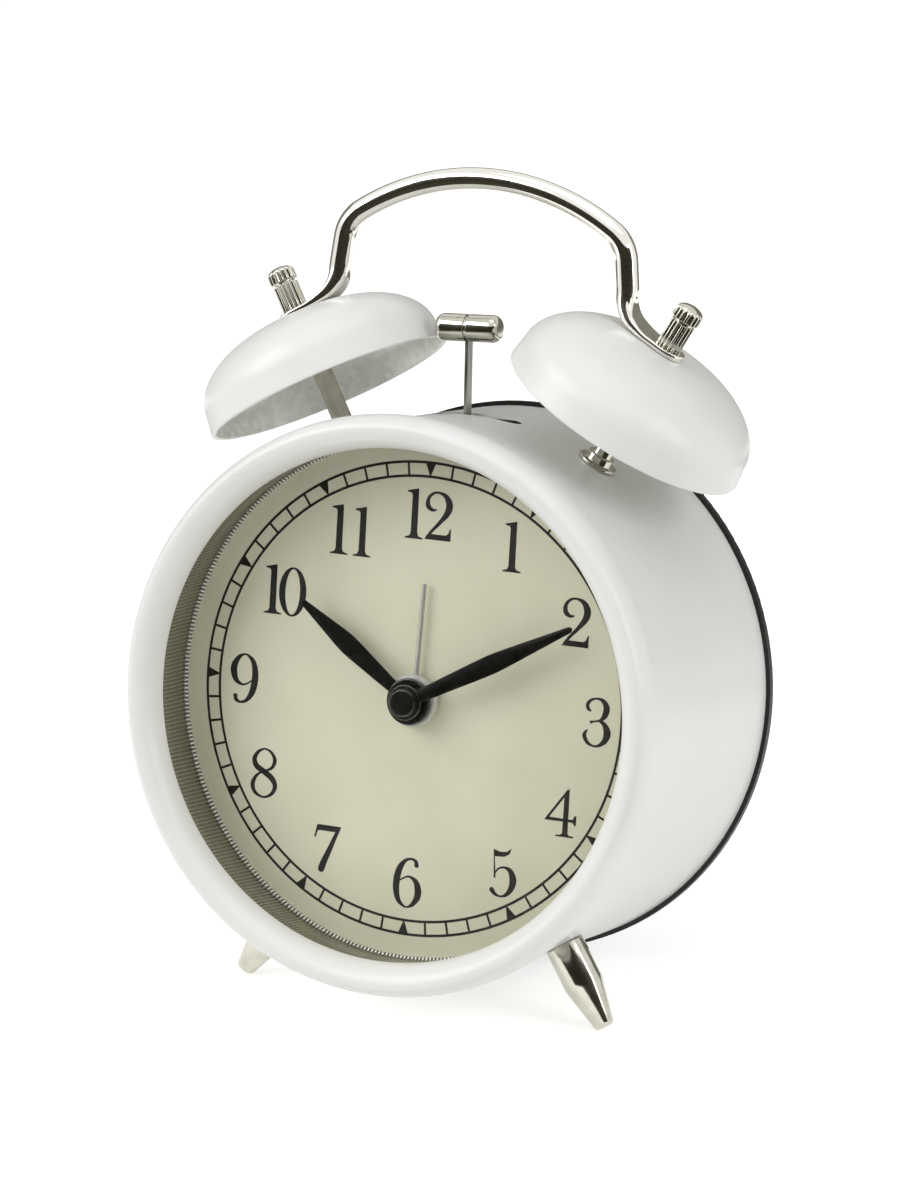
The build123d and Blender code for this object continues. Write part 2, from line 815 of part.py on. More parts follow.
def alarm_switch():
    """A slider: a ridged thumb piece outside and a foot inside that keeps it in its slot."""
    start = -switch_travel / 2
    thumb = Pos(start, switch_place_z) * Rectangle(switch_length, switch_width)
    slider = slab(thumb, cover_front - inner_fit, cover_rear + switch_height)
    groove = Pos(start, switch_place_z) * Rectangle(switch_groove_width, switch_width)
    slider -= slab(groove, cover_rear + switch_height - switch_groove_depth, cover_rear + switch_height)
    foot = Pos(start, switch_place_z) * Rectangle(
        switch_length + 2 * switch_travel, switch_width + 2 * switch_foot_margin
    )
    slider += slab(foot, cover_front - inner_fit - switch_foot_thickness, cover_front - inner_fit)
    return slider


# Bells, handle and hammer

def bell():
    """A pressed cup along Z: a slightly flared skirt, an elliptical dome and a flat seat at its crown."""
    shoulder_r = bell_r - bell_flare
    span = shoulder_r - bell_flat_r
    rise = bell_height - bell_skirt
    rim_inner = bell_r - bell_wall
    hole = post_stud_r + hole_gap
    cup = spun(
        Line((rim_inner, 0), (bell_r, 0)),
        Line((bell_r, 0), (shoulder_r, bell_skirt)),
        EllipticalCenterArc((bell_flat_r, bell_skirt), span, rise, 0, arc_size=90),
        Line((bell_flat_r, bell_height), (hole, bell_height)),
        Line((hole, bell_height), (hole, bell_height - bell_wall)),
        Line((hole, bell_height - bell_wall), (bell_flat_r, bell_height - bell_wall)),
        EllipticalCenterArc((bell_flat_r, bell_skirt), span - bell_wall, rise - bell_wall, 0, arc_size=90),
        Line((shoulder_r - bell_wall, bell_skirt), (rim_inner, 0)),
    )
    return Pos(0, 0, bell_rim_place) * cup


def bell_post():
    """A turned post along Z: tail inside the drum, collar and nut on it, shoulder under the bell, stud above."""
    tail = drum_inner_r - post_tail
    collar = drum_r + seat_gap
    nut_low = collar + post_collar_height
    nut_high = nut_low + post_nut_height
    shoulder = bell_crown_place - bell_wall
    stud_end = finial_place + finial_bore_depth - seat_gap
    outline = Polyline(
        (0, tail), (post_r, tail), (post_r, collar), (post_collar_r, collar),
        (post_collar_r, nut_low), (post_nut_r, nut_low), (post_nut_r, nut_high), (post_r, nut_high),
        (post_r, shoulder), (post_stud_r, shoulder), (post_stud_r, stud_end), (0, stud_end), close=True
    )
    return revolve(Plane.XZ * make_face(outline), Axis.Z)


def finial():
    """A nut along Z: shank, groove and domed cap, with a blind bore for the post's stud."""
    groove_r = finial_r - finial_groove_depth
    groove_top = finial_shank + finial_groove_width
    edge = finial_height - finial_dome
    bore = post_stud_r + seat_gap
    dome_r = (finial_r ** 2 + finial_dome ** 2) / (2 * finial_dome)
    dome_turn = asin(finial_r / dome_r) / 2
    dome_middle = (dome_r * sin(dome_turn), finial_height - dome_r * (1 - cos(dome_turn)))
    nut = spun(
        Line((bore, 0), (finial_shank_r, 0)),
        Line((finial_shank_r, 0), (finial_shank_r, finial_shank)),
        Line((finial_shank_r, finial_shank), (groove_r, finial_shank)),
        Line((groove_r, finial_shank), (groove_r, groove_top)),
        Line((groove_r, groove_top), (finial_r, groove_top)),
        Line((finial_r, groove_top), (finial_r, edge)),
        ThreePointArc((finial_r, edge), dome_middle, (0, finial_height)),
        Line((0, finial_height), (0, finial_bore_depth)),
        Line((0, finial_bore_depth), (bore, finial_bore_depth)),
        Line((bore, finial_bore_depth), (bore, 0)),
    )
    return Pos(0, 0, finial_place) * nut


def handle_half():
    """The bent rod from the tab to the middle of the arch, as a list of edges in X and Z."""
    slope = radians(bell_angle)
    out = Vector(cos(slope), -sin(slope))
    over_hole = Vector(rod_place * sin(slope), rod_place * cos(slope))
    corner = over_hole - out * handle_tab_reach
    lean = radians(handle_leg_lean)
    leg = Vector(-sin(lean), cos(lean))
    inward = Vector(-cos(lean), -sin(lean))
    bend_turn = pi - acos(leg.dot(out))
    bend_run = handle_bend_r / tan((pi - bend_turn) / 2)
    rod_start = over_hole - out * (tab_start + handle_flat_run)
    bend_start = corner + out * bend_run
    bend_end = corner + leg * bend_run
    bend_bisector = (out + leg).normalized()
    bend_middle = corner + bend_bisector * (handle_bend_r / sin((pi - bend_turn) / 2) - handle_bend_r)
    arch_centre = Vector(0, handle_top - handle_arch_r)
    offset = corner + inward * handle_shoulder_r - arch_centre
    along = offset.dot(leg)
    reach = handle_arch_r - handle_shoulder_r
    rise = -along + sqrt(along * along - offset.dot(offset) + reach * reach)
    leg_end = corner + leg * rise
    shoulder_centre = leg_end + inward * handle_shoulder_r
    arch_start = arch_centre + (shoulder_centre - arch_centre).normalized() * handle_arch_r
    shoulder_out = ((leg_end - shoulder_centre) + (arch_start - shoulder_centre)).normalized()
    shoulder_middle = shoulder_centre + shoulder_out * handle_shoulder_r
    return [
        Line(rod_start, bend_start),
        ThreePointArc(bend_start, bend_middle, bend_end),
        Line(bend_end, leg_end),
        ThreePointArc(leg_end, shoulder_middle, arch_start),
    ], arch_start


def carry_handle():
    """The rod swept along its path, each end flattened and drilled to fit under a finial."""
    half, arch_start = handle_half()
    arch = ThreePointArc(arch_start, (0, handle_top), (-arch_start.X, arch_start.Y))
    mirrored = [edge.mirror(Plane.YZ) for edge in half]
    path = Plane.XZ * Wire(half + [arch] + mirrored)
    section = Plane(origin=path @ 0, z_dir=path % 0) * Circle(rod_r)
    handle = Pos(0, bell_plane, 0) * sweep(section, path)
    for side in (-1, 1):
        end = Pos(0, 0, tab_place) * handle_end()
        end = end if side > 0 else end.mirror(Plane.YZ)
        handle += radial(side * bell_angle, bell_plane) * end
    return handle


def handle_end():
    """The flattened end, drawn along -X from the finial's hole: a rounded tab that swells into the rod."""
    tab = Circle(tab_width / 2) + Pos(-tab_start / 2, 0) * Rectangle(tab_start, tab_width)
    plate = Pos(0, 0, -tab_thickness / 2) * extrude(tab, tab_thickness)
    plate -= Cylinder(post_stud_r + hole_gap, 2 * tab_thickness)
    flat = Plane(origin=(-tab_start, 0, 0), x_dir=(0, 1, 0), z_dir=(-1, 0, 0))
    flat_face = flat * RectangleRounded(tab_width, tab_thickness, tab_edge_round)
    rod_origin = (-tab_start - handle_flat_run, 0, rod_place - tab_place)
    round_face = Plane(origin=rod_origin, x_dir=(0, 1, 0), z_dir=(-1, 0, 0)) * Circle(rod_r)
    return plate + loft([flat_face, round_face])


def hammer_tilt():
    """The hammer's place at rest, leaning to the left bell, about its pivot."""
    pivot = Pos(0, 0, pivot_place)
    return pivot * Rot(0, -hammer_swing / 2, 0) * pivot.inverse()


def hammer_head():
    """A cylinder across the clock with a groove round its middle and a pocket for the strip."""
    half = head_length / 2
    groove_r = head_r - head_groove_depth
    groove = head_groove_width / 2
    outline = Polyline(
        (0, -half), (head_r, -half), (head_r, -groove), (groove_r, -groove),
        (groove_r, groove), (head_r, groove), (head_r, half), (0, half), close=True
    )
    head = revolve(Plane.XZ * make_face(outline), Axis.Z)
    ends = head.edges().filter_by(GeomType.CIRCLE).group_by(Axis.Z)
    head = fillet([ends[0][0], ends[-1][0]], head_round)
    head = Pos(0, bell_plane, head_place) * Rot(0, 90, 0) * head
    pocket = Box(strip_thickness + 2 * seat_gap, strip_width + 2 * seat_gap, head_r + head_pocket)
    head -= Pos(0, bell_plane, head_place - head_r / 2 - head_pocket / 2) * pocket
    return hammer_tilt() * head


def hammer_arm():
    """A flat spring strip from the lever's socket to the head."""
    low = lever_top() - lever_socket
    high = head_place
    strip = Box(strip_thickness, strip_width, high - low)
    return hammer_tilt() * Pos(0, bell_plane, (low + high) / 2) * strip


def lever_top():
    """The upper end of the lever's socket."""
    return motor_place + lever_head_length / 2 + lever_socket


def hammer_lever():
    """A moulded lever: hub on the pivot pin, window for the eccentric's pin, socket for the strip."""
    neck_length = motor_place - pivot_place
    body = Pos(0, pivot_place) * Circle(lever_hub_r)
    body += Pos(0, pivot_place + neck_length / 2) * Rectangle(lever_neck_width, neck_length)
    body += Pos(0, motor_place) * RectangleRounded(lever_head_width, lever_head_length, lever_head_corner)
    socket_high = lever_top()
    body += Pos(0, (motor_place + socket_high) / 2) * Rectangle(lever_neck_width, socket_high - motor_place)
    window_width = 2 * (eccentric_pin_r + eccentric_play)
    window_height = 2 * (eccentric_pin_r + eccentric_throw + eccentric_play)
    body -= Pos(0, motor_place) * Rectangle(window_width, window_height)
    body -= Pos(0, pivot_place) * Circle(pin_r + shaft_fit)
    lever = slab(body, lever_front, lever_rear)
    pocket_low = socket_high - lever_socket
    pocket = Box(strip_thickness + 2 * seat_gap, strip_width + 2 * seat_gap, lever_socket)
    lever -= Pos(0, bell_plane, (pocket_low + socket_high) / 2) * pocket
    return hammer_tilt() * lever


def hammer_pivot_pin():
    """A headed pin pressed in the bracket."""
    pin = rod(pin_r, lever_front - bracket_gap, bracket_rear, 0, pivot_place)
    head_front = lever_front - bracket_gap - pin_head_height
    return pin + rod(pin_head_r, head_front, lever_front - bracket_gap, 0, pivot_place)


def motor_bracket():
    """A stamped plate: wings on the carrier's standoffs and a tower that holds the motor's nose."""
    wings = Pos(0, standoff_z) * RectangleRounded(bracket_wing_width, bracket_wing_height, bracket_corner)
    tower_top = motor_place + motor_r
    tower = Pos(0, (standoff_z + tower_top) / 2) * RectangleRounded(
        bracket_tower_width, tower_top - standoff_z, bracket_corner
    )
    plate = wings + tower
    plate -= Pos(0, motor_place) * Circle(motor_nose_r + shaft_fit)
    plate -= Pos(0, pivot_place) * Circle(pin_r + seat_gap)
    for side in (-1, 1):
        plate -= Pos(side * standoff_x, standoff_z) * Circle(screw_r + hole_gap)
    return slab(plate, bracket_front, bracket_rear)


def bell_motor():
    """A small can motor, its nose in the bracket's hole."""
    can = rod(motor_r, bracket_rear, bracket_rear + motor_length, 0, motor_place)
    can = fillet(can.edges().group_by(Axis.Y)[-1], motor_round)
    can += rod(motor_nose_r, bracket_rear - motor_nose_height, bracket_rear, 0, motor_place)
    shaft_end = bracket_rear + motor_length / 2
    return can - rod(motor_shaft_r + shaft_fit, bracket_rear - motor_nose_height, shaft_end, 0, motor_place)


def motor_eccentric():
    """The motor's shaft, a disc on its end and the offset pin that rocks the lever."""
    disc_rear = eccentric_front + eccentric_thickness
    crank = rod(motor_shaft_r, disc_rear, bracket_rear + motor_length / 2 - seat_gap, 0, motor_place)
    crank += rod(eccentric_r, eccentric_front, disc_rear, 0, motor_place)
    crank += rod(eccentric_pin_r, lever_front, eccentric_front, -eccentric_throw, motor_place)
    return crank


# Feet and small fasteners

def foot():
    """A turned foot along Z: a straight barrel, a cone and a rounded tip, with a stud into the drum."""
    top = drum_r + seat_gap
    barrel_end = top + foot_barrel
    stud_end = drum_inner_r - foot_stud_length
    round_r = foot_tip_round
    cone = atan2(foot_r - foot_tip_r, foot_place - barrel_end)
    start = Vector(foot_tip_r + round_r * (cos(cone) - 1), foot_place - round_r + round_r * sin(cone))
    middle_turn = (cone + pi / 2) / 2
    centre = Vector(foot_tip_r - round_r, foot_place - round_r)
    middle = centre + Vector(cos(middle_turn), sin(middle_turn)) * round_r
    return spun(
        Line((0, stud_end), (foot_stud_r, stud_end)),
        Line((foot_stud_r, stud_end), (foot_stud_r, top)),
        Line((foot_stud_r, top), (foot_r, top)),
        Line((foot_r, top), (foot_r, barrel_end)),
        Line((foot_r, barrel_end), start),
        ThreePointArc(start, middle, (foot_tip_r - round_r, foot_place)),
        Line((foot_tip_r - round_r, foot_place), (0, foot_place)),
        Line((0, foot_place), (0, stud_end)),
    )


def hex_nut(bore):
    """A nut along Z whose top face lies against the inside of the drum."""
    corner_r = nut_across_flats / sqrt(3)
    contact = sqrt(drum_inner_r ** 2 - corner_r ** 2) - seat_gap
    outline = RegularPolygon(corner_r, 6) - Circle(bore + seat_gap)
    return Pos(0, 0, contact - nut_height) * extrude(outline, nut_height)


def pair(solid, angle, depth):
    """Two copies of a solid, left and right of the case."""
    return [radial(side * angle, depth) * solid for side in (-1, 1)]


def screw(x, z, under_head, bite):
    """A round-headed screw from behind: the head's underside and how far it bites."""
    shank = rod(screw_r, under_head - bite, under_head, x, z)
    return shank + rod(screw_head_r, under_head, under_head + screw_head_height - seat_gap, x, z)


def cover_screws():
    """Screws from the back cover into the carrier's posts."""
    under_head = cover_rear - screw_head_height
    bite = under_head - cover_front + screw_bite - seat_gap
    return [screw(*polar(cover_post_place, angle), under_head, bite) for angle in cover_post_angles]


def movement_screws():
    """Screws through the movement's columns into the carrier."""
    bite = movement_rear - carrier_front - seat_gap
    return [screw(x, z, movement_rear, bite) for x, z in movement_corners()]


def bracket_screws():
    """Screws from the bracket into the carrier's standoffs."""
    bite = bracket_thickness + screw_bite - seat_gap
    return [screw(side * standoff_x, standoff_z, bracket_rear, bite) for side in (-1, 1)]


def clock_pieces():
    """Every piece of the clock in the case frame, by name."""
    left_bell, right_bell = pair(bell(), bell_angle, bell_plane)
    left_post, right_post = pair(bell_post(), bell_angle, bell_plane)
    left_finial, right_finial = pair(finial(), bell_angle, bell_plane)
    right_foot, left_foot = pair(foot(), foot_angle - 180, foot_plane)
    return {
        "case_drum": case_drum(),
        "front_bezel": front_bezel(),
        "lens": lens(),
        "reflector_ring": reflector_ring(),
        "dial": dial(),
        "dial_carrier": dial_carrier(),
        "movement_front_shell": movement_front_shell(),
        "movement_rear_shell": movement_rear_shell(),
        "alarm_wheel": alarm_wheel(),
        "hour_wheel": hour_wheel(),
        "minute_arbor": minute_arbor(),
        "setting_arbor": setting_arbor(),
        "alarm_arbor": alarm_arbor(),
        "circuit_board": circuit_board(),
        "drive_coil": drive_coil(),
        "stator": stator(),
        "minute_hand": minute_hand(),
        "hour_hand": hour_hand(),
        "alarm_hand": alarm_hand(),
        "back_cover": back_cover(),
        "battery_door": battery_door(),
        "battery_cell": battery_cell(),
        "negative_contact": negative_contact(),
        "positive_contact": positive_contact(),
        "time_knob": knob(time_axis_x, time_axis_z),
        "alarm_knob": knob(alarm_axis_x, alarm_axis_z),
        "alarm_switch": alarm_switch(),
        "left_bell": left_bell,
        "right_bell": right_bell,
        "left_bell_post": left_post,
        "right_bell_post": right_post,
        "left_finial": left_finial,
        "right_finial": right_finial,
        "carry_handle": carry_handle(),
        "hammer_head": hammer_head(),
        "hammer_arm": hammer_arm(),
        "hammer_lever": hammer_lever(),
        "hammer_pivot_pin": hammer_pivot_pin(),
        "motor_bracket": motor_bracket(),
        "bell_motor": bell_motor(),
        "motor_eccentric": motor_eccentric(),
        "left_foot": left_foot,
        "right_foot": right_foot,
        "post_nuts": pair(hex_nut(post_r), bell_angle, bell_plane),
        "foot_nuts": pair(hex_nut(foot_stud_r), 180 - foot_angle, foot_plane),
        "cover_screws": cover_screws(),
        "movement_screws": movement_screws(),
        "bracket_screws": bracket_screws(),
    }


def lean_angle():
    """How far the clock leans back, in degrees, when its feet and its rear rim stand on one plane.

    The lowest point of a foot's rounded tip and of the rim's rounded edge both depend a little on the
    lean, so it is found by going round a few times.
    """
    lean = 0.0
    axis_down = cos(radians(foot_angle))
    tip_centre = foot_place - foot_tip_round
    tip_ring = foot_tip_r - foot_tip_round
    for _ in range(lean_rounds):
        down = Vector(0, sin(lean), -cos(lean))
        axis = Vector(sin(radians(foot_angle)), 0, -axis_down)
        across = (down - axis * down.dot(axis)).normalized()
        foot_low = Vector(0, foot_plane, 0) + axis * tip_centre + across * tip_ring + down * foot_tip_round
        rim_centre = Vector(0, cover_rear - cover_edge_round, -(cover_r - cover_edge_round))
        rim_low = rim_centre + down * cover_edge_round
        lean = atan2(rim_low.Z - foot_low.Z, rim_low.Y - foot_low.Y)
    return degrees(lean)


# Stand the clock up and write one file for each piece

lean = lean_angle()
tipped = {}
for name, solids in clock_pieces().items():
    piece = Compound(solids) if isinstance(solids, list) else solids
    tipped[name] = Rot(-lean, 0, 0) * piece
box = Compound(list(tipped.values())).bounding_box()
stand = Pos(-box.center().X, -box.center().Y, -box.min.Z)

for name, piece in tipped.items():
    export_step(stand * piece, f"parts/{name}.step")

print(f"lean {lean:.3f} degrees, size {box.size.X:.2f} x {box.size.Y:.2f} x {box.size.Z:.2f} mm")
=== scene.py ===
"""Twin-bell alarm clock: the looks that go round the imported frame, as an add-on that is run as a script."""
import json
import math

import bmesh
import bpy
import numpy as np
from mathutils import Matrix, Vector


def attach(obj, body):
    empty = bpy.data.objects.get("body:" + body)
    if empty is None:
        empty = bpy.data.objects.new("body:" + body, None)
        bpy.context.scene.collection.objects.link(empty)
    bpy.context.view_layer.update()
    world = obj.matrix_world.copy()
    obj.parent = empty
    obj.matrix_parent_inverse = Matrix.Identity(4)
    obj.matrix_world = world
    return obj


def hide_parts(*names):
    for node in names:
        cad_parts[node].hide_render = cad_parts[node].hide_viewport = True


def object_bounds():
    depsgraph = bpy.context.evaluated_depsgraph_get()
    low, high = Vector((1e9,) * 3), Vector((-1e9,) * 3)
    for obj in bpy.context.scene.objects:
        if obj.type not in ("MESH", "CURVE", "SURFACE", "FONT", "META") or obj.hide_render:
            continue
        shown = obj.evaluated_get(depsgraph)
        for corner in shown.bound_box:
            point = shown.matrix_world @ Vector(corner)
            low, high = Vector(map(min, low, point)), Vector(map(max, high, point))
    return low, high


bl_info = {
    "name": "Twin-bell alarm clock",
    "version": (1, 0, 0),
    "blender": (4, 5, 0),
    "location": "3D View > Sidebar > Alarm clock",
    "description": "Dresses the clock's frame with enamel, nickel, a printed dial, hands and a studio",
    "category": "Object",
}

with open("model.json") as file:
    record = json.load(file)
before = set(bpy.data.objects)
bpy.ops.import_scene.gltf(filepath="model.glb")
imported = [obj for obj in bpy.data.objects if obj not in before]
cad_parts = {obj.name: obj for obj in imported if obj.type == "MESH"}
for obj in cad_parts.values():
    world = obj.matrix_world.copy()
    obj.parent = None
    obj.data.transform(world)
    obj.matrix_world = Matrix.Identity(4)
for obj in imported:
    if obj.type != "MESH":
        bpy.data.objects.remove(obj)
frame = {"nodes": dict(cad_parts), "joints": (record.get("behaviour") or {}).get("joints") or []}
cad_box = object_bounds()

MM = 0.001
JOINTS = {joint["name"]: joint for joint in frame["joints"]}

# The case frame: X to the right, Y from the dial into the case, Z to twelve, origin on the dial's face.
DIAL_CENTRE = np.array(JOINTS["minute_turn"]["pos_m"])
DEPTH = np.array(JOINTS["minute_turn"]["axis"])
RIGHT = np.array((1.0, 0.0, 0.0))
CASE_AXES = np.array((RIGHT, DEPTH, np.cross(RIGHT, DEPTH)))

# One unit of the dial's drawing, which gives its numerals and its minute track.
DIAL_UNIT = 1.02 * MM


# Measuring the frame

def to_frame(points):
    """Case frame to the shared frame: the dial's centre plus x, y and z along the case's three axes."""
    return DIAL_CENTRE + points @ CASE_AXES


def node_points(name):
    """The vertices of a CAD node, in the case frame."""
    mesh = frame["nodes"][name].data
    flat = np.empty(3 * len(mesh.vertices), np.float32)
    mesh.vertices.foreach_get("co", flat)
    return (flat.reshape(-1, 3).astype(float) - DIAL_CENTRE) @ CASE_AXES.T


def axis_place(origin, along, across):
    """A place for a turned piece: its origin and three unit axes, the third along its centre line."""
    along = np.array(along, float)
    across = np.array(across, float)
    return np.array(origin, float), np.array((across, np.cross(along, across), along))


def in_place(points, place):
    """Local points to the case frame: the place's origin plus each coordinate along its axis."""
    origin, axes = place
    return origin + points @ axes


DIAL_PLACE = axis_place((0, 0, 0), (0, 1, 0), (1, 0, 0))


def radial_place(name):
    """A line from the case's axis through a turned node, turned until the node lies evenly round it."""
    points = node_points(name)
    depth = (points[:, 1].min() + points[:, 1].max()) / 2
    angle = math.atan2(points[:, 0].mean(), points[:, 2].mean())
    for _ in range(8):
        across = points[:, 0] * math.cos(angle) - points[:, 2] * math.sin(angle)
        along = points[:, 0] * math.sin(angle) + points[:, 2] * math.cos(angle)
        angle += math.atan2((across.max() + across.min()) / 2, along.mean())
    out = (math.sin(angle), 0, math.cos(angle))
    return axis_place((0, depth, 0), out, (math.cos(angle), 0, -math.sin(angle)))


def turned_span(name, place):
    """The largest radius and the two ends of a node along a place's centre line."""
    origin, axes = place
    local = (node_points(name) - origin) @ axes.T
    return np.hypot(local[:, 0], local[:, 1]).max(), local[:, 2].min(), local[:, 2].max()


# Surfaces

def quads(rows, columns, close_rows=False, close_columns=False):
    """The faces of a grid of points numbered row by row, each joined to its next neighbours."""
    row = np.arange(rows if close_rows else rows - 1)
    column = np.arange(columns if close_columns else columns - 1)
    row, column = np.meshgrid(row, column, indexing="ij")
    next_row = (row + 1) % rows
    next_column = (column + 1) % columns
    corners = (
        row * columns + column,
        row * columns + next_column,
        next_row * columns + next_column,
        next_row * columns + column,
    )
    return np.stack(corners, -1).reshape(-1, 4)


def arc(centre, radii, start, end, count):
    """Points of an ellipse's arc: the centre plus each radius times the cosine and sine of the angle."""
    turn = np.radians(np.linspace(start, end, count))
    return np.column_stack((centre[0] + radii[0] * np.cos(turn), centre[1] + radii[1] * np.sin(turn)))


def rounded(corners, radius, count=5):
    """A run of straight lines whose corners are cut back by the radius and bridged by parabolas."""
    corners = np.array(corners, float)
    radius = np.broadcast_to(np.array(radius, float), len(corners) - 2)[:, None]
    here = corners[1:-1]
    back = corners[:-2] - here
    ahead = corners[2:] - here
    back_cut = here + back * np.minimum(radius / np.linalg.norm(back, axis=1, keepdims=True), 0.5)
    ahead_cut = here + ahead * np.minimum(radius / np.linalg.norm(ahead, axis=1, keepdims=True), 0.5)
    share = np.linspace(0, 1, count)[None, :, None]
    curves = (
        (1 - share) ** 2 * back_cut[:, None]
        + 2 * share * (1 - share) * here[:, None]
        + share ** 2 * ahead_cut[:, None]
    )
    return np.vstack((corners[:1], curves.reshape(-1, 2), corners[-1:]))


def lathe(profile, segments, ring=False, relief=None):
    """A turned surface: profile point (r, h) at angle t is (r cos t, r sin t, h). A ring's profile is a
    closed loop. The relief, a function of profile and angle, is added to the radius."""
    turn = np.linspace(0, 2 * np.pi, segments, endpoint=False)
    radius = np.repeat(profile[:, :1], segments, 1)
    if relief is not None:
        radius = radius + relief(profile, turn)
    height = np.repeat(profile[:, 1:], segments, 1)
    points = np.stack((radius * np.cos(turn), radius * np.sin(turn), height), -1)
    return points.reshape(-1, 3), quads(len(profile), segments, ring, True)


def prism(outline, front, rear):
    """A flat plate: the outline of (x, z) at two depths, with a wall between and a face at each end."""
    outline = np.array(outline, float)
    count = len(outline)
    near = np.insert(outline, 1, front, axis=1)
    far = np.insert(outline, 1, rear, axis=1)
    faces = quads(2, count, close_columns=True).tolist()
    faces += [list(range(count)), list(range(count, 2 * count))]
    return np.vstack((near, far)), faces


def smooth_path(controls, closed=False, steps=8):
    """A Catmull-Rom curve through the control points, each span a cubic that keeps its neighbours' slope."""
    controls = np.array(controls, float)
    if closed:
        padded = np.vstack((controls[-1:], controls, controls[:2]))
    else:
        ends = (2 * controls[:1] - controls[1:2], 2 * controls[-1:] - controls[-2:-1])
        padded = np.vstack((ends[0], controls, ends[1]))
    before, start, end, after = padded[:-3, None], padded[1:-2, None], padded[2:-1, None], padded[3:, None]
    share = np.linspace(0, 1, steps, endpoint=False)[None, :, None]
    curve = 0.5 * (
        2 * start
        + (end - before) * share
        + (2 * before - 5 * start + 4 * end - after) * share ** 2
        + (3 * start - before - 3 * end + after) * share ** 3
    )
    curve = curve.reshape(-1, controls.shape[1])
    return curve if closed else np.vstack((curve, controls[-1:]))


def ribbon(controls, front, rear, closed=False):
    """A pen stroke: a smooth path of (x, z, half width), set off to both sides by the half width, at two
    depths."""
    path = smooth_path(controls, closed)
    slope = np.gradient(path[:, :2], axis=0)
    if closed:
        slope = np.roll(path[:, :2], -1, 0) - np.roll(path[:, :2], 1, 0)
    side = np.column_stack((-slope[:, 1], slope[:, 0])) / np.linalg.norm(slope, axis=1, keepdims=True)
    left = path[:, :2] + side * path[:, 2:]
    right = path[:, :2] - side * path[:, 2:]
    corners = [np.insert(edge, 1, depth, axis=1) for edge, depth in
               ((left, front), (right, front), (right, rear), (left, rear))]
    points = np.stack(corners, 1).reshape(-1, 3)
    faces = quads(len(path), 4, closed, True).tolist()
    if not closed:
        last = 4 * (len(path) - 1)
        faces += [[0, 1, 2, 3], [last, last + 1, last + 2, last + 3]]
    return points, faces


def joined(shells):
    """Several shells as one: their points in a row, and their faces counted on from the shells before."""
    points = []
    faces = []
    count = 0
    for shell_points, shell_faces in shells:
        points.append(shell_points)
        faces += [[corner + count for corner in face] for face in shell_faces]
        count += len(shell_points)
    return np.vstack(points), faces


def make_piece(
    name, shell, materials, body, place=None, bands=None, replaces=(), crease=38.0, crest=None,
):
    """Puts a shell into the scene: its points go to the shared frame, seams are merged, faces turned
    outwards and shaded smooth up to the crease angle. Bands give each face the number of its material. The
    crest, 0 to 1 at each point, is kept as an attribute, by which the ring's material paints shade and a
    highlight."""
    points, faces = shell
    if place is not None:
        points = in_place(points, place)
    mesh = bpy.data.meshes.new(name)
    mesh.from_pydata(to_frame(points).tolist(), [], [list(face) for face in faces])
    for material in materials:
        mesh.materials.append(material)
    if bands is not None:
        mesh.polygons.foreach_set("material_index", np.asarray(bands, np.int32))
    if crest is not None:
        kept = mesh.attributes.new("crest", "FLOAT", "POINT")
        kept.data.foreach_set("value", np.asarray(crest, np.float32))
    shape = bmesh.new()
    shape.from_mesh(mesh)
    bmesh.ops.remove_doubles(shape, verts=shape.verts, dist=1e-7)
    bmesh.ops.recalc_face_normals(shape, faces=shape.faces)
    shape.to_mesh(mesh)
    shape.free()
    mesh.polygons.foreach_set("use_smooth", np.ones(len(mesh.polygons), bool))
    mesh.set_sharp_from_angle(angle=math.radians(crease))
    piece = bpy.data.objects.new(name, mesh)
    bpy.context.scene.collection.objects.link(piece)
    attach(piece, body)
    if replaces:
        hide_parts(*replaces)
    return piece


# Materials

# Noise keeps mostly between these two values, so tones and roughness are spread over them.
NOISE_SPAN = (0.3, 0.7)


def linear(code):
    """A colour from its sRGB hex code: each channel by the sRGB curve, with full alpha."""
    channels = np.array([int(code[i:i + 2], 16) for i in (1, 3, 5)]) / 255
    low = channels / 12.92
    high = ((channels + 0.055) / 1.055) ** 2.4
    return (*np.where(channels <= 0.04045, low, high).tolist(), 1.0)


def node(tree, kind, inputs=(), stops=(), **settings):
    """Adds a shader node with its settings and, on a colour ramp, its stops. An input that is another node's
    output is linked, any other is set."""
    made = tree.nodes.new(kind)
    for name, value in settings.items():
        setattr(made, name, value)
    for index, (position, colour) in enumerate(stops):
        made.color_ramp.elements[index].position = position
        made.color_ramp.elements[index].color = colour
    for name, value in dict(inputs).items():
        socket = made.inputs[name]
        if isinstance(value, bpy.types.NodeSocket):
            tree.links.new(value, socket)
        else:
            socket.default_value = value
    return made


def new_material(name):
    """An empty material and its node tree."""
    material = bpy.data.materials.new(name)
    material.use_nodes = True
    material.node_tree.nodes.clear()
    return material, material.node_tree


def speckle(tree, size, detail=2.0, stretch=(1, 1, 1)):
    """Noise on Object coordinates with lumps of the given size, drawn out along an axis by the stretch."""
    place = node(tree, "ShaderNodeTexCoord").outputs["Object"]
    drawn = node(tree, "ShaderNodeMapping", {"Vector": place, "Scale": stretch}).outputs["Vector"]
    inputs = {"Vector": drawn, "Scale": 1 / size, "Detail": detail}
    return node(tree, "ShaderNodeTexNoise", inputs).outputs["Fac"]


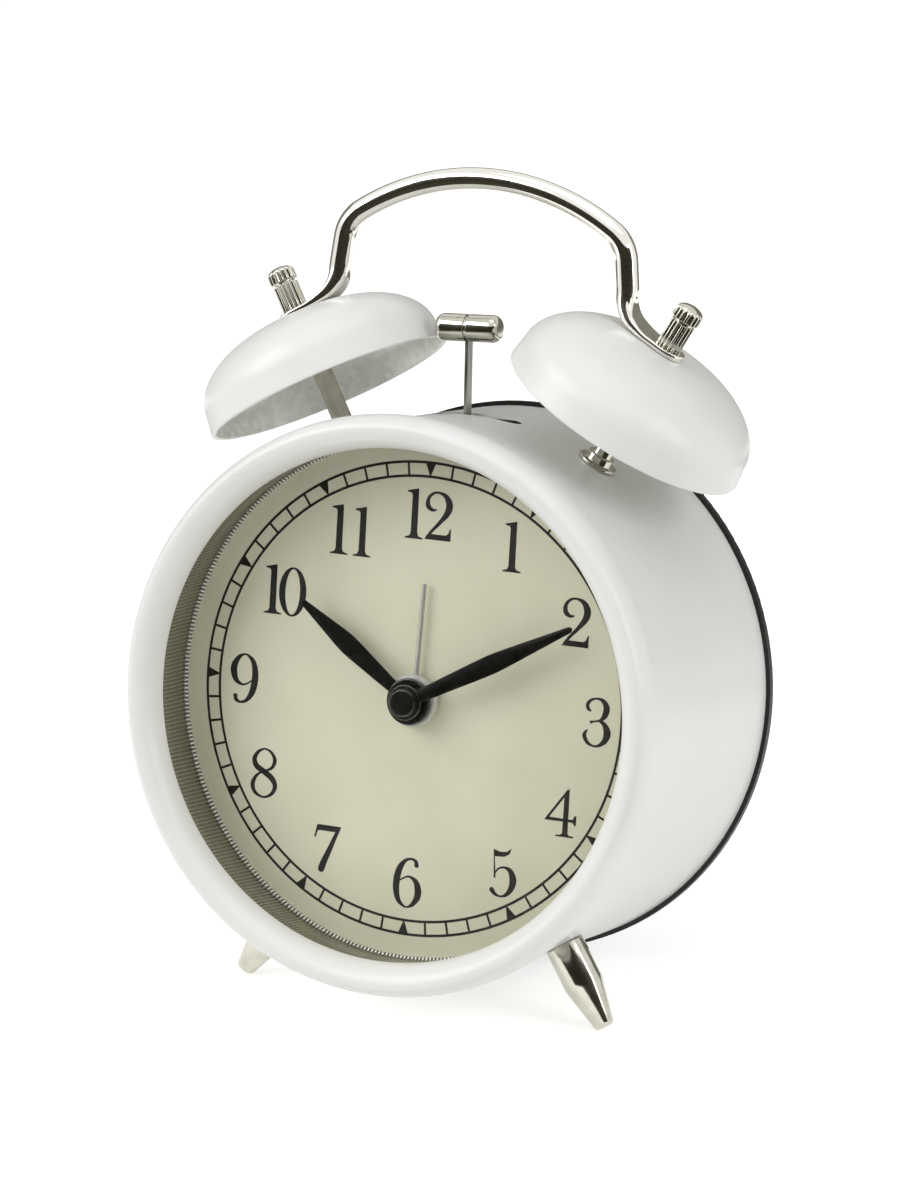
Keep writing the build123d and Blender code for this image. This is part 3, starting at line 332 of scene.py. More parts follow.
def coat(tree, tone, tones, grain, rough, constants=(), bump=None, span=NOISE_SPAN):
    """The shader of a finish and its output. The colour runs between two tones over the span of one pattern.
    The roughness runs over its range with the grain, which also lifts the surface by a bump of height and
    strength. Constants go on the shader's own sockets."""
    limits = dict(zip(("From Min", "From Max", "To Min", "To Max"), (*NOISE_SPAN, *rough)))
    inputs = {
        "Base Color": node(tree, "ShaderNodeValToRGB", {"Fac": tone}, zip(span, tones)).outputs["Color"],
        "Roughness": node(tree, "ShaderNodeMapRange", {"Value": grain, **limits}).outputs["Result"],
        **dict(constants),
    }
    if bump is not None:
        lift = {"Height": grain, "Distance": bump[0], "Strength": bump[1]}
        inputs["Normal"] = node(tree, "ShaderNodeBump", lift).outputs["Normal"]
    shader = node(tree, "ShaderNodeBsdfPrincipled", inputs).outputs["BSDF"]
    node(tree, "ShaderNodeOutputMaterial", {"Surface": shader})


def satin_enamel():
    """Baked enamel on pressed steel: off-white, a soft sheen, the faint orange peel of a sprayed coat."""
    material, tree = new_material("satin_enamel")
    peel = speckle(tree, 1.4 * MM)
    cloud = speckle(tree, 14 * MM)
    tones = linear("#EAEAE7"), (*bpy.context.scene.clock_colours.enamel, 1.0)
    gloss = {"Coat Weight": 0.2, "Coat Roughness": 0.2}
    coat(tree, cloud, tones, peel, (0.34, 0.4), gloss, bump=(0.012 * MM, 0.35))
    return material


def galvanised_steel():
    """Zinc-coated steel inside the bells: grey crystal patches a millimetre across, dull and mottled."""
    material, tree = new_material("galvanised_steel")
    place = node(tree, "ShaderNodeTexCoord").outputs["Object"]
    patches = node(tree, "ShaderNodeTexVoronoi", {"Vector": place, "Scale": 1 / (1.1 * MM)})
    shade = node(tree, "ShaderNodeSeparateColor", {"Color": patches.outputs["Color"]}).outputs["Red"]
    grain = speckle(tree, 0.5 * MM)
    tones = linear("#E9EAE4"), linear("#F8F8F4")
    coat(tree, shade, tones, grain, (0.42, 0.52), {"Metallic": 0.45}, (0.01 * MM, 0.3), (0.1, 0.9))
    return material


def polished_nickel():
    """Nickel plate on the handle's rod: a warm grey mirror with faint wipe marks."""
    material, tree = new_material("polished_nickel")
    wipes = speckle(tree, 9 * MM, 1.0)
    tones = linear("#E6E4DB"), (*bpy.context.scene.clock_colours.nickel, 1.0)
    coat(tree, wipes, tones, wipes, (0.05, 0.08), {"Metallic": 1.0})
    return material


def clear_glass():
    """Flat float glass: clear, a thin bright gloss, and no shadow of its own on the dial."""
    material, tree = new_material("clear_glass")
    haze = speckle(tree, 9 * MM)
    limits = dict(zip(("From Min", "From Max", "To Min", "To Max"), (*NOISE_SPAN, 0.0, 0.02)))
    inputs = {
        "Base Color": (1, 1, 1, 1),
        "Roughness": node(tree, "ShaderNodeMapRange", {"Value": haze, **limits}).outputs["Result"],
        "Transmission Weight": 1.0,
        "IOR": 1.45,
    }
    glass = node(tree, "ShaderNodeBsdfPrincipled", inputs).outputs["BSDF"]
    clear = node(tree, "ShaderNodeBsdfTransparent").outputs["BSDF"]
    path = node(tree, "ShaderNodeLightPath").outputs
    unseen = {0: path["Is Shadow Ray"], 1: path["Is Diffuse Ray"]}
    passing = node(tree, "ShaderNodeMath", unseen, operation="MAXIMUM").outputs["Value"]
    mixed = node(tree, "ShaderNodeMixShader", {0: passing, 1: glass, 2: clear}).outputs["Shader"]
    node(tree, "ShaderNodeOutputMaterial", {"Surface": mixed})
    return material


def dial_paint():
    """Cream paint on the dial plate: matt, with a faint cloud and the tooth of a printed sheet, which is
    drawn coarser than the real one so that it shows."""
    material, tree = new_material("dial_paint")
    cloud = speckle(tree, 16 * MM)
    tooth = speckle(tree, 0.35 * MM)
    tones = linear("#DEDCC2"), (*bpy.context.scene.clock_colours.dial, 1.0)
    coat(tree, cloud, tones, tooth, (0.55, 0.68), bump=(0.006 * MM, 0.25))
    return material


def printing_ink():
    """Screen-printed ink: near black, with the slight unevenness of a print."""
    material, tree = new_material("printing_ink")
    blots = speckle(tree, 0.7 * MM)
    coat(tree, blots, (linear("#0D0C09"), linear("#1B1A15")), blots, (0.45, 0.6))
    return material


def black_lacquer(name, rough, specular):
    """Lacquer on the stamped hands and their hubs: black, with the soft ripple of a dipped coat."""
    material, tree = new_material(name)
    ripple = speckle(tree, 3 * MM, 1.0)
    tones = linear("#0A0A08"), linear("#11100E")
    gloss = {"Specular IOR Level": specular}
    coat(tree, ripple, tones, ripple, (rough - 0.02, rough + 0.02), gloss, (0.006 * MM, 0.06))
    return material


def ribbed_plastic(name, tones, span, metallic, cloud_size, rough):
    """The ring round the dial and its beaded edge: grey plastic under a thin metal film. Its colour runs from
    dark in each groove to light on each rib's and bead's crest: painted shade and a painted highlight."""
    material, tree = new_material(name)
    crest = node(tree, "ShaderNodeAttribute", attribute_name="crest").outputs["Fac"]
    cloud = speckle(tree, cloud_size)
    coat(tree, crest, [linear(tone) for tone in tones], cloud, rough, {"Metallic": metallic}, span=span)
    return material


def moulded_plastic(name, dark, light, rough=0.42):
    """ABS from a spark-eroded mould, and the coats of cell and board: one colour, low gloss, and a fine
    grain, which is drawn coarser than the real one so that it shows."""
    material, tree = new_material(name)
    grain = speckle(tree, 0.45 * MM)
    cloud = speckle(tree, 11 * MM)
    tones = linear(dark), linear(light)
    coat(tree, cloud, tones, grain, (rough - 0.05, rough + 0.08), bump=(0.015 * MM, 0.4))
    return material


def bare_metal(name, dark, light, rough, size, detail=3.0, stretch=(1, 1, 1), metallic=1.0):
    """A metal without paint: its two tones and its gloss follow the marks of turning, drawing or stamping,
    which the stretch draws out into lines along the clock's height. The marks are drawn coarser than real
    ones so that they show."""
    material, tree = new_material(name)
    marks = speckle(tree, size, detail, stretch)
    coat(tree, marks, (linear(dark), linear(light)), marks, rough, {"Metallic": metallic})
    return material


MATERIALS = {}


def make_materials():
    """Each finish once, under the name of the record's slot that it stands for."""
    drawn = (1, 1, 0.15)
    MATERIALS.update({
        "white_paint": satin_enamel(),
        "galvanised": galvanised_steel(),
        "nickel": polished_nickel(),
        # Nickel on the feet, nuts, posts and hammer: greyer than the handle, its gloss dulled by tool marks.
        "turned": bare_metal("satin_nickel", "#BFBDB0", "#CFCDC1", (0.08, 0.13), 2.5 * MM, 2.0),
        # Drawn steel: grey, with fine lines along the clock's height.
        "steel": bare_metal("bright_steel", "#8F8F89", "#B4B4AC", (0.2, 0.34), 0.6 * MM, 3.0, (1, 1, 0.1)),
        "clear_glass": clear_glass(),
        "dial_face": dial_paint(),
        "ink": printing_ink(),
        "black_hand": black_lacquer("satin_black_lacquer", 0.28, 0.16),
        "hub": black_lacquer("gloss_black_lacquer", 0.1, 1.0),
        # Aluminium of the alarm hand and its collar: pale grey and satin, the collar brighter.
        "grey_hand": bare_metal(
            "satin_aluminium", "#C2C3BB", "#DBDCD4", (0.28, 0.4), 0.5 * MM, stretch=drawn, metallic=0.55),
        "collar": bare_metal(
            "turned_aluminium", "#DCDDD8", "#EDEEEA", (0.28, 0.4), 0.5 * MM, stretch=drawn, metallic=0.35),
        # The ring's and the bead's tones run from groove to crest: painted shade in the grooves, a painted
        # highlight on the crests.
        "grey_plastic": ribbed_plastic(
            "silvered_plastic", ("#7C7869", "#A6A290"), (0.35, 0.95), 0.75, 6 * MM, (0.28, 0.36)),
        "bead": ribbed_plastic(
            "metallised_plastic", ("#706E63", "#FAF9F3"), (0.3, 0.8), 0.4, 5 * MM, (0.16, 0.22)),
        "black_plastic": moulded_plastic("black_abs", "#0D0D0C", "#151513"),
        "white_plastic": moulded_plastic("white_abs", "#CFCFC7", "#DEDED6", 0.4),
        "cell_wrap": moulded_plastic("cell_sleeve", "#3C4046", "#4B5058", 0.3),
        "board": moulded_plastic("coated_board", "#12401C", "#1C5729", 0.35),
        # Metals of the works: yellow, red-brown and dark grey, with the grain of stamping or winding.
        "brass": bare_metal("stamped_brass", "#A98A45", "#CBAA62", (0.2, 0.32), 0.8 * MM),
        "copper": bare_metal("enamelled_copper_wire", "#8C4A28", "#B3673D", (0.24, 0.36), 0.3 * MM),
        "iron": bare_metal("soft_iron", "#5A5A58", "#747471", (0.36, 0.48), 0.6 * MM),
    })


# User settings

def in_mm(name, description, millimetres):
    """A length that the user can change, with its default in millimetres."""
    return bpy.props.FloatProperty(
        name=name, description=description, default=millimetres * MM, unit="LENGTH")


def tint(name, description, code):
    """A colour that the user can change, with its default as an sRGB hex code."""
    return bpy.props.FloatVectorProperty(
        name=name, description=description, default=linear(code)[:3], subtype="COLOR", min=0, max=1)


def watts(name, description, level):
    """A lamp's power that the user can change."""
    return bpy.props.FloatProperty(name=name, description=description, default=level, unit="POWER")


class ClockSizes(bpy.types.PropertyGroup):
    """Sizes of the forms that the scene adds to the frame."""

    bezel_band: in_mm("Bezel band", "Width of the bezel seen from the front", 5.8)
    bezel_crest: in_mm("Bezel crest", "From the outer edge in to the crest of the rounded front", 2.2)
    bezel_wall: in_mm("Bezel wall", "Thickness of the rolled sheet", 0.9)
    bezel_bulge: in_mm("Bezel bulge", "Height of the bezel's rounded front", 4.6)
    bell_wall: in_mm("Bell wall", "Thickness of the pressed cup", 0.9)
    bell_skirt: in_mm("Bell skirt", "Height of the straight skirt at the rim", 3.6)
    bell_flare: in_mm("Bell flare", "How far the skirt opens towards the rim", 0.5)
    bell_seat: in_mm("Bell seat", "Radius of the flat at the crown, under the handle", 4.2)
    post_radius: in_mm("Post radius", "Radius of the bell's post", 1.75)
    washer_height: in_mm("Washer height", "Height of the disc at the foot of the post", 0.6)
    finial_flutes: bpy.props.IntProperty(
        name="Finial flutes", description="Grooves round each knurled nut", default=16, min=8)
    flute_depth: in_mm("Flute depth", "Depth of the grooves on the knurled nuts", 0.3)
    handle_rod: in_mm("Handle rod", "Radius of the handle's rod", 1.95)
    handle_arch: in_mm("Handle arch", "Radius of the arch across the top", 44.0)
    handle_shoulder: in_mm("Handle shoulder", "Radius of the bend between arch and leg", 6.6)
    handle_bend: in_mm("Handle bend", "Radius of the bend between leg and tab", 5.0)
    handle_lean: bpy.props.FloatProperty(
        name="Handle lean", description="Lean of the legs towards each other",
        default=math.radians(6.5), subtype="ANGLE")
    tab_reach: in_mm("Tab reach", "From the finial's hole to the corner of the leg", 9.4)
    tab_width: in_mm("Tab width", "Width of the flattened end", 6.6)
    tab_thickness: in_mm("Tab thickness", "Thickness of the flattened end", 1.2)
    tab_flat: in_mm("Tab flat", "From the finial's hole to where the flat starts to swell", 3.3)
    tab_swell: in_mm("Tab swell", "Length over which the flat grows into the rod", 10.0)
    ring_ribs: bpy.props.IntProperty(
        name="Ring ribs", description="Fine ribs round the inside of the ring", default=400, min=40)
    rib_depth: in_mm("Rib depth", "Depth of the ring's ribs", 0.13)
    print_height: in_mm("Print height", "Thickness of the ink on the dial and the cover", 0.03)
    knob_flutes: bpy.props.IntProperty(
        name="Knob flutes", description="Grooves round each setting knob", default=20, min=6)
    knob_flute_depth: in_mm("Knob flute depth", "Depth of the grooves on the knobs", 0.5)


class ClockColours(bpy.types.PropertyGroup):
    """Colours of the finishes that a user would change."""

    enamel: tint("Enamel", "Paint of the case, bezel and bells", "#EDEDEB")
    nickel: tint("Nickel", "Plate of the handle", "#EFEDE5")
    dial: tint("Dial", "Paint of the dial plate", "#E7E5CC")
    floor: tint("Floor", "Colour of the studio's floor", "#F4F4F2")


class ClockStage(bpy.types.PropertyGroup):
    """Camera and light of the studio. The camera is placed from the dial's centre in the case frame."""

    camera_place: bpy.props.FloatVectorProperty(
        name="Camera place", description="Where the camera stands",
        default=(376.72 * MM, -772.10 * MM, 129.95 * MM), subtype="TRANSLATION", unit="LENGTH")
    focal_length: bpy.props.FloatProperty(
        name="Focal length", description="The camera's lens, in millimetres", default=152.26, unit="CAMERA")
    left_power: watts("Left power", "Power of the lamp above and to the left", 9.6)
    right_power: watts("Right power", "Power of the low lamp at the right", 3.2)
    top_power: watts("Top power", "Power of the lamp overhead", 1.9)
    sky_level: bpy.props.FloatProperty(
        name="Sky level", description="Even light from all round", default=0.45, min=0)


# Case

def bezel_profile(sizes):
    """The bezel's section as (radius, depth): skirt, a front of two quarter ellipses that meet at the crest,
    lip for the glass, hollow behind."""
    outer, _, rear = turned_span("front_bezel", DIAL_PLACE)
    glass = turned_span("lens", DIAL_PLACE)[1]
    play = 0.1 * MM
    seat_height = 0.2 * MM
    drum = turned_span("case_drum", DIAL_PLACE)[0] + play
    base = glass - seat_height
    skirt_corner = 0.3 * (rear - base)
    inner = outer - sizes.bezel_band
    crest = outer - sizes.bezel_crest
    lip = inner + sizes.bezel_wall
    hollow = ((lip + drum) / 2, base)
    hollow_radii = ((drum - lip) / 2, sizes.bezel_bulge - sizes.bezel_wall)
    skirt = rounded([(drum, rear), (outer, rear), (outer, base)], skirt_corner)
    outside = arc((crest, base), (sizes.bezel_crest, sizes.bezel_bulge), 360, 270, 25)
    inside = arc((crest, base), (crest - inner, sizes.bezel_bulge), 270, 180, 25)
    seat = rounded([(inner, base), (inner, glass), (lip, glass), (lip, base)], 0.1 * MM)
    back = arc(hollow, hollow_radii, 180, 360, 17)
    return np.vstack((skirt[:-1], outside, inside[1:], seat[1:-1], back))


def make_case():
    """The rolled bezel, and a black strip along the edge of the slot in the drum, painted shade for the
    drum's dark inside.
    """
    sizes = bpy.context.scene.clock_sizes
    enamel = MATERIALS["white_paint"]
    shell = lathe(bezel_profile(sizes), 320, ring=True)
    make_piece("rolled_bezel", shell, [enamel], "case", DIAL_PLACE, replaces=["front_bezel"])
    make_slot_shade_strip()


# The slot for the hammer, in millimetres: half its straight run and half its width, and the section of the
# black strip along its edge, painted shade for the drum's dark inside, as (inset from the slot's wall, drop
# from the drum's top).
SLOT_HALF_RUN = 7.2
SLOT_HALF_WIDTH = 1.8
SLOT_SHADE_SECTION = ((-0.02, 0.03), (0.07, 0.03), (0.07, 0.75), (-0.02, 0.75))


def make_slot_shade_strip():
    """A black strip along the edge of the hammer's slot, painted shade for the drum's dark inside: two half
    circles and two straight runs in plan, each point lifted to the drum's round top by the root of the radius
    squared less x squared."""
    drum = turned_span("case_drum", DIAL_PLACE)[0]
    depth = radial_place("left_finial")[0][1]
    half_run = SLOT_HALF_RUN * MM
    loops = []
    for inset, drop in SLOT_SHADE_SECTION:
        radius = (SLOT_HALF_WIDTH - inset) * MM
        plan = np.vstack((
            arc((half_run, depth), (radius, radius), -90, 90, 24),
            arc((-half_run, depth), (radius, radius), 90, 270, 24),
        ))
        height = np.sqrt((drum - drop * MM) ** 2 - plan[:, 0] ** 2)
        loops.append(np.column_stack((plan, height)))
    shell = np.vstack(loops), quads(len(loops), len(loops[0]), True, True)
    # The black strip is painted shade: it darkens the slot where the drum's inside lies in shadow.
    make_piece("slot_shade_strip", shell, [MATERIALS["black_plastic"]], "case")


# Bells and what carries them

def bell_profile(rim, low, high, sizes):
    """A bell's section as (radius, height): rolled rim, flared skirt, elliptical dome, flat crown, then back
    down inside at the wall's thickness."""
    wall = sizes.bell_wall
    seat = sizes.bell_seat
    shoulder = rim - sizes.bell_flare
    base = low + sizes.bell_skirt
    rise = high - base
    outside = np.vstack((
        rounded([(rim - wall / 2, low), (rim, low), (shoulder, base)], 0.35 * MM)[:-1],
        arc((seat, base), (shoulder - seat, rise), 0, 90, 41),
    ))
    inside = np.vstack((
        arc((seat, base), (shoulder - wall - seat, rise - wall), 90, 0, 41),
        rounded([(shoulder - wall, base), (rim - wall, low), (rim - wall / 2, low)], 0.35 * MM)[1:],
    ))
    hole = 1.2 * MM
    crown = np.array(((hole, high), (hole, high - wall)))
    return np.vstack((outside, crown, inside)), len(outside)


def make_bells():
    """Both bells, enamel outside and bare zinc inside."""
    sizes = bpy.context.scene.clock_sizes
    materials = [MATERIALS["white_paint"], MATERIALS["galvanised"]]
    for side in ("left", "right"):
        place = radial_place(f"{side}_finial")
        rim, low, high = turned_span(f"{side}_bell", place)
        profile, outside = bell_profile(rim, low, high, sizes)
        segments = 256
        rows = np.repeat(np.arange(len(profile) - 1), segments)
        bands = np.where((rows > outside) & (rows < len(profile) - 3), 1, 0)
        shell = lathe(profile, segments)
        make_piece(
            f"{side}_bell_cup", shell, materials, "case", place, bands, [f"{side}_bell"],
        )


def make_posts():
    """The turned posts: a disc on the drum, a smaller nut on the disc, and the shank up into the bell."""
    sizes = bpy.context.scene.clock_sizes
    drum = turned_span("case_drum", DIAL_PLACE)[0]
    for side in ("left", "right"):
        place = radial_place(f"{side}_finial")
        collar, low, high = turned_span(f"{side}_bell_post", place)
        crown = turned_span(f"{side}_bell", place)[2]
        washer = drum + sizes.washer_height
        nut_top = washer + 1.3 * MM
        nut = 0.68 * collar
        shank = sizes.post_radius
        shoulder = crown - 0.9 * MM
        stud = 1.15 * MM
        profile = rounded([
            (0, low), (shank, low), (shank, drum), (collar, drum + 0.02 * MM), (collar, washer),
            (nut, washer), (nut, nut_top), (shank, nut_top), (shank, shoulder), (stud, shoulder),
            (stud, high), (0, high),
        ], 0.14 * MM, 4)
        shell = lathe(profile, 64)
        make_piece(
            f"{side}_turned_post", shell, [MATERIALS["turned"]], "case", place,
            replaces=[f"{side}_bell_post"],
        )


def finial_profile(radius, low, high):
    """A knurled nut's section: straight shank, narrow neck, cap with a rounded edge and a low dome."""
    neck = low + 0.6 * (high - low)
    cap = neck + 0.5 * MM
    edge = high - 1.3 * MM
    grip = 0.9 * radius
    waist = 0.7 * radius
    shank = rounded([
        (0, low), (grip, low), (grip, neck), (waist, neck), (waist, cap), (radius, cap), (radius, edge),
    ], 0.16 * MM, 4)
    dome = arc((0, edge), (radius, high - edge), 0, 90, 15)
    return np.vstack((shank, dome[1:]))


def make_finials():
    """The two knurled nuts on the handle's ends, fluted along shank and cap."""
    sizes = bpy.context.scene.clock_sizes
    for side in ("left", "right"):
        place = radial_place(f"{side}_finial")
        radius, low, high = turned_span(f"{side}_finial", place)
        profile = finial_profile(radius, low, high)

        def flutes(section, turn):
            """Grooves that run along the nut: a cosine of the angle, fading out towards the centre line."""
            grip = np.clip((section[:, :1] / radius - 0.72) / 0.12, 0, 1)
            grip = grip * np.clip((high - 0.5 * MM - section[:, 1:]) / (0.8 * MM), 0, 1)
            return -sizes.flute_depth * grip * (0.5 - 0.5 * np.cos(sizes.finial_flutes * turn)) ** 1.6

        shell = lathe(profile, sizes.finial_flutes * 14, relief=flutes)
        make_piece(
            f"{side}_knurled_nut", shell, [MATERIALS["turned"]], "case", place,
            replaces=[f"{side}_finial"], crease=50.0,
        )


# Handle

# Rows of points round the end of each tab.
TAB_END_ROWS = 12


def handle_path(sizes):
    """The rod's centre line as (x, z), from the right tab's end to the top of the arch: tab, bend, leg,
    shoulder and half the arch, each a straight run or part of a circle."""
    place = radial_place("right_finial")
    slope = math.atan2(place[1][2][0], place[1][2][2])
    crown = turned_span("right_bell", place)[2]
    top = node_points("carry_handle")[:, 2].max() - sizes.handle_rod
    outward = np.array((math.cos(slope), -math.sin(slope)))
    upward = np.array((math.sin(slope), math.cos(slope)))
    leg = np.array((-math.sin(sizes.handle_lean), math.cos(sizes.handle_lean)))
    inward = np.array((-math.cos(sizes.handle_lean), -math.sin(sizes.handle_lean)))
    raised = upward * (crown + sizes.handle_rod)
    corner = raised - outward * sizes.tab_reach
    half_turn = (math.pi - math.acos(leg @ outward)) / 2
    run = sizes.handle_bend * math.tan(half_turn)

    along = np.concatenate((
        sizes.tab_width / 2 * np.cos(np.linspace(0, math.pi / 2, TAB_END_ROWS)),
        np.linspace(0, run - sizes.tab_reach, 28)[1:],
    ))
    tab = raised + outward * along[:, None]

    bisector = (outward + leg) / np.linalg.norm(outward + leg)
    bend_centre = corner + bisector * (sizes.handle_bend / math.cos(half_turn))
    bend_start = corner + outward * run - bend_centre
    bend = bend_centre + swing_between(bend_start, corner + leg * run - bend_centre, 16)

    arch_centre = np.array((0, top - sizes.handle_arch))
    offset = corner + inward * sizes.handle_shoulder - arch_centre
    reach = sizes.handle_arch - sizes.handle_shoulder
    rise = -offset @ leg + math.sqrt((offset @ leg) ** 2 - offset @ offset + reach ** 2)
    leg_end = corner + leg * rise
    shoulder_centre = leg_end + inward * sizes.handle_shoulder
    arch_start = arch_centre + (shoulder_centre - arch_centre) / reach * sizes.handle_arch
    legs = np.linspace(bend[-1], leg_end, 14)[1:-1]
    shoulder = shoulder_centre + swing_between(leg_end - shoulder_centre, arch_start - shoulder_centre, 26)
    arch = arch_centre + swing_between(arch_start - arch_centre, np.array((0, sizes.handle_arch)), 40)
    return np.vstack((tab, bend[1:], legs, shoulder, arch[1:]))


def swing_between(first, last, count):
    """Points on a circle from one spoke to the next: the spoke turned by even steps of their angle."""
    angle = math.atan2(first[0] * last[1] - first[1] * last[0], first @ last)
    turn = np.linspace(0, angle, count)
    return np.column_stack((
        first[0] * np.cos(turn) - first[1] * np.sin(turn),
        first[0] * np.sin(turn) + first[1] * np.cos(turn),
    ))


def make_handle():
    """The bent rod: a section carried along the path, a circle on the rod that flattens by a smooth step of
    the distance to a superellipse on the tabs, and sinks there so that its underside stays on the bell."""
    sizes = bpy.context.scene.clock_sizes
    half = handle_path(sizes)
    depth = radial_place("right_finial")[0][1]
    tab_end = sizes.tab_width / 2
    steps = np.linalg.norm(np.diff(half, axis=0), axis=1)
    past_hole = np.concatenate(((0,), np.cumsum(steps))) - tab_end
    grow = np.clip((past_hole - sizes.tab_flat) / sizes.tab_swell, 0, 1)
    grow = grow * grow * (3 - 2 * grow)
    thick = sizes.tab_thickness / 2 + (sizes.handle_rod - sizes.tab_thickness / 2) * grow
    wide = tab_end + (sizes.handle_rod - tab_end) * grow
    wide = wide * np.sqrt(1 - np.clip(-past_hole / tab_end, 0, 1) ** 2)
    sink = sizes.handle_rod - thick
    thick[0] = 0
    power = 2 / (2 + 4 * (1 - grow))

    centre = np.vstack((half, (half[:-1] * (-1, 1))[::-1]))
    rows = (thick, wide, power, sink)
    thick, wide, power, sink = (np.concatenate((each, each[:-1][::-1])) for each in rows)
    tangent = np.gradient(centre, axis=0)
    tangent /= np.linalg.norm(tangent, axis=1, keepdims=True)
    turn = np.linspace(0, 2 * np.pi, 48, endpoint=False)
    bow = np.sign(np.cos(turn)) * np.abs(np.cos(turn)) ** power[:, None] * thick[:, None] + sink[:, None]
    width = np.sign(np.sin(turn)) * np.abs(np.sin(turn)) ** power[:, None] * wide[:, None]
    x = centre[:, :1] - tangent[:, 1:] * bow
    z = centre[:, 1:] + tangent[:, :1] * bow
    points = np.stack((x, depth + width, z), -1).reshape(-1, 3)
    shell = points, quads(len(centre), len(turn), close_columns=True)
    make_piece(
        "bent_handle", shell, [MATERIALS["nickel"]], "case",
        replaces=["carry_handle"], crease=60.0,
    )


# Hammer

def make_hammer():
    """The hammer's head: a turned bar across the clock with a groove at its middle and rounded ends."""
    lean = math.radians(JOINTS["hammer_swing"]["range_deg"][1]) / 2
    across = (math.cos(lean), 0, math.sin(lean))
    place = axis_place((0, 0, 0), across, (0, 1, 0))
    local = node_points("hammer_head") @ place[1].T
    middle = (local.min(0) + local.max(0)) / 2
    half = (local[:, 2].max() - local[:, 2].min()) / 2
    radius = (local[:, 0].max() - local[:, 0].min()) / 2
    place = (middle @ place[1], place[1])
    groove = 0.28 * MM
    deep = radius - 0.35 * MM
    end = 0.72 * radius
    side = half - 0.9 * MM
    profile = rounded([
        (0, -half), (end, -half), (radius, -side), (radius, -groove), (deep, -groove),
        (deep, groove), (radius, groove), (radius, side), (end, half), (0, half),
    ], [0.6 * MM, 0.5 * MM, 0.12 * MM, 0.08 * MM, 0.08 * MM, 0.12 * MM, 0.5 * MM, 0.6 * MM], 6)
    shell = lathe(profile, 96)
    make_piece(
        "striker_bar", shell, [MATERIALS["turned"]], "hammer", place, replaces=["hammer_head"],
    )


# Feet

def make_feet():
    """The turned feet: a straight barrel with eased edges, a cone and a rounded tip, on a stud."""
    drum = turned_span("case_drum", DIAL_PLACE)[0]
    for side in ("left", "right"):
        place = radial_place(f"{side}_foot")
        radius, low, high = turned_span(f"{side}_foot", place)
        top = drum + 0.02 * MM
        barrel = top + 7.6 * MM
        stud = 1.5 * MM
        tip = 1.65 * MM
        profile = rounded([
            (0, low), (stud, low), (stud, top), (radius, top), (radius, barrel), (tip, high), (0, high),
        ], [0.1 * MM, 0.1 * MM, 0.25 * MM, 0.5 * MM, 0.8 * MM], 7)
        shell = lathe(profile, 96)
        make_piece(
            f"{side}_turned_foot", shell, [MATERIALS["turned"]], "case", place,
            replaces=[f"{side}_foot"], crease=30.0,
        )


# Dial

def make_ring():
    """The deep ring round the dial: its inner wall carries fine ribs, and a beaded edge meets the dial."""
    sizes = bpy.context.scene.clock_sizes
    outer, front, rear = turned_span("reflector_ring", DIAL_PLACE)
    points = node_points("reflector_ring")
    inner_front = np.hypot(points[:, 0], points[:, 2])[points[:, 1] < front + 0.1 * MM].min()
    inner_rear = np.hypot(points[:, 0], points[:, 2])[points[:, 1] > rear - 0.1 * MM].min()
    bead = 0.55 * MM
    bead_start = rear - 2.05 * bead
    bead_gain = 1.6
    chamfer = 0.3 * MM
    wall = np.linspace((inner_front, front + chamfer), (inner_rear, rear - 2 * bead), 6)
    edge = arc((inner_rear, rear - bead), (0.5 * MM, bead), 270, 90, 7)
    edge[:, 0] = inner_rear - np.abs(edge[:, 0] - inner_rear) - 0.02 * MM
    profile = np.vstack((
        ((outer, rear), (outer, front), (inner_front + chamfer, front)),
        wall, edge, ((inner_rear, rear),),
    ))

    def ribs(section, turn):
        """Even ridges along the wall and beads at its edge: a cosine of the angle on the inner side only."""
        beaded = section[:, 1:] > bead_start
        inside = (section[:, :1] < inner_front + 0.2 * MM) | beaded
        inside = inside & (section[:, :1] < outer - 0.5 * MM)
        depth = np.where(beaded, bead_gain, 1.0) * sizes.rib_depth
        return inside * depth * np.cos(sizes.ring_ribs * turn)

    segments = sizes.ring_ribs * 6
    first_bead = len(profile) - len(edge) - 1
    bands = np.repeat(np.arange(len(profile)) >= first_bead, segments)
    shell = lathe(profile, segments, ring=True, relief=ribs)
    # The crest runs from 0 in each groove to 1 on each rib; the ring's materials paint shade and a highlight
    # by it.
    rib_turn = np.linspace(0, 2 * np.pi * sizes.ring_ribs, segments, endpoint=False)
    crest = np.tile(0.5 - 0.5 * np.cos(rib_turn), len(profile))
    materials = [MATERIALS["grey_plastic"], MATERIALS["bead"]]
    make_piece(
        "ribbed_ring", shell, materials, "case", DIAL_PLACE, bands,
        ["reflector_ring"], 80.0, crest,
    )


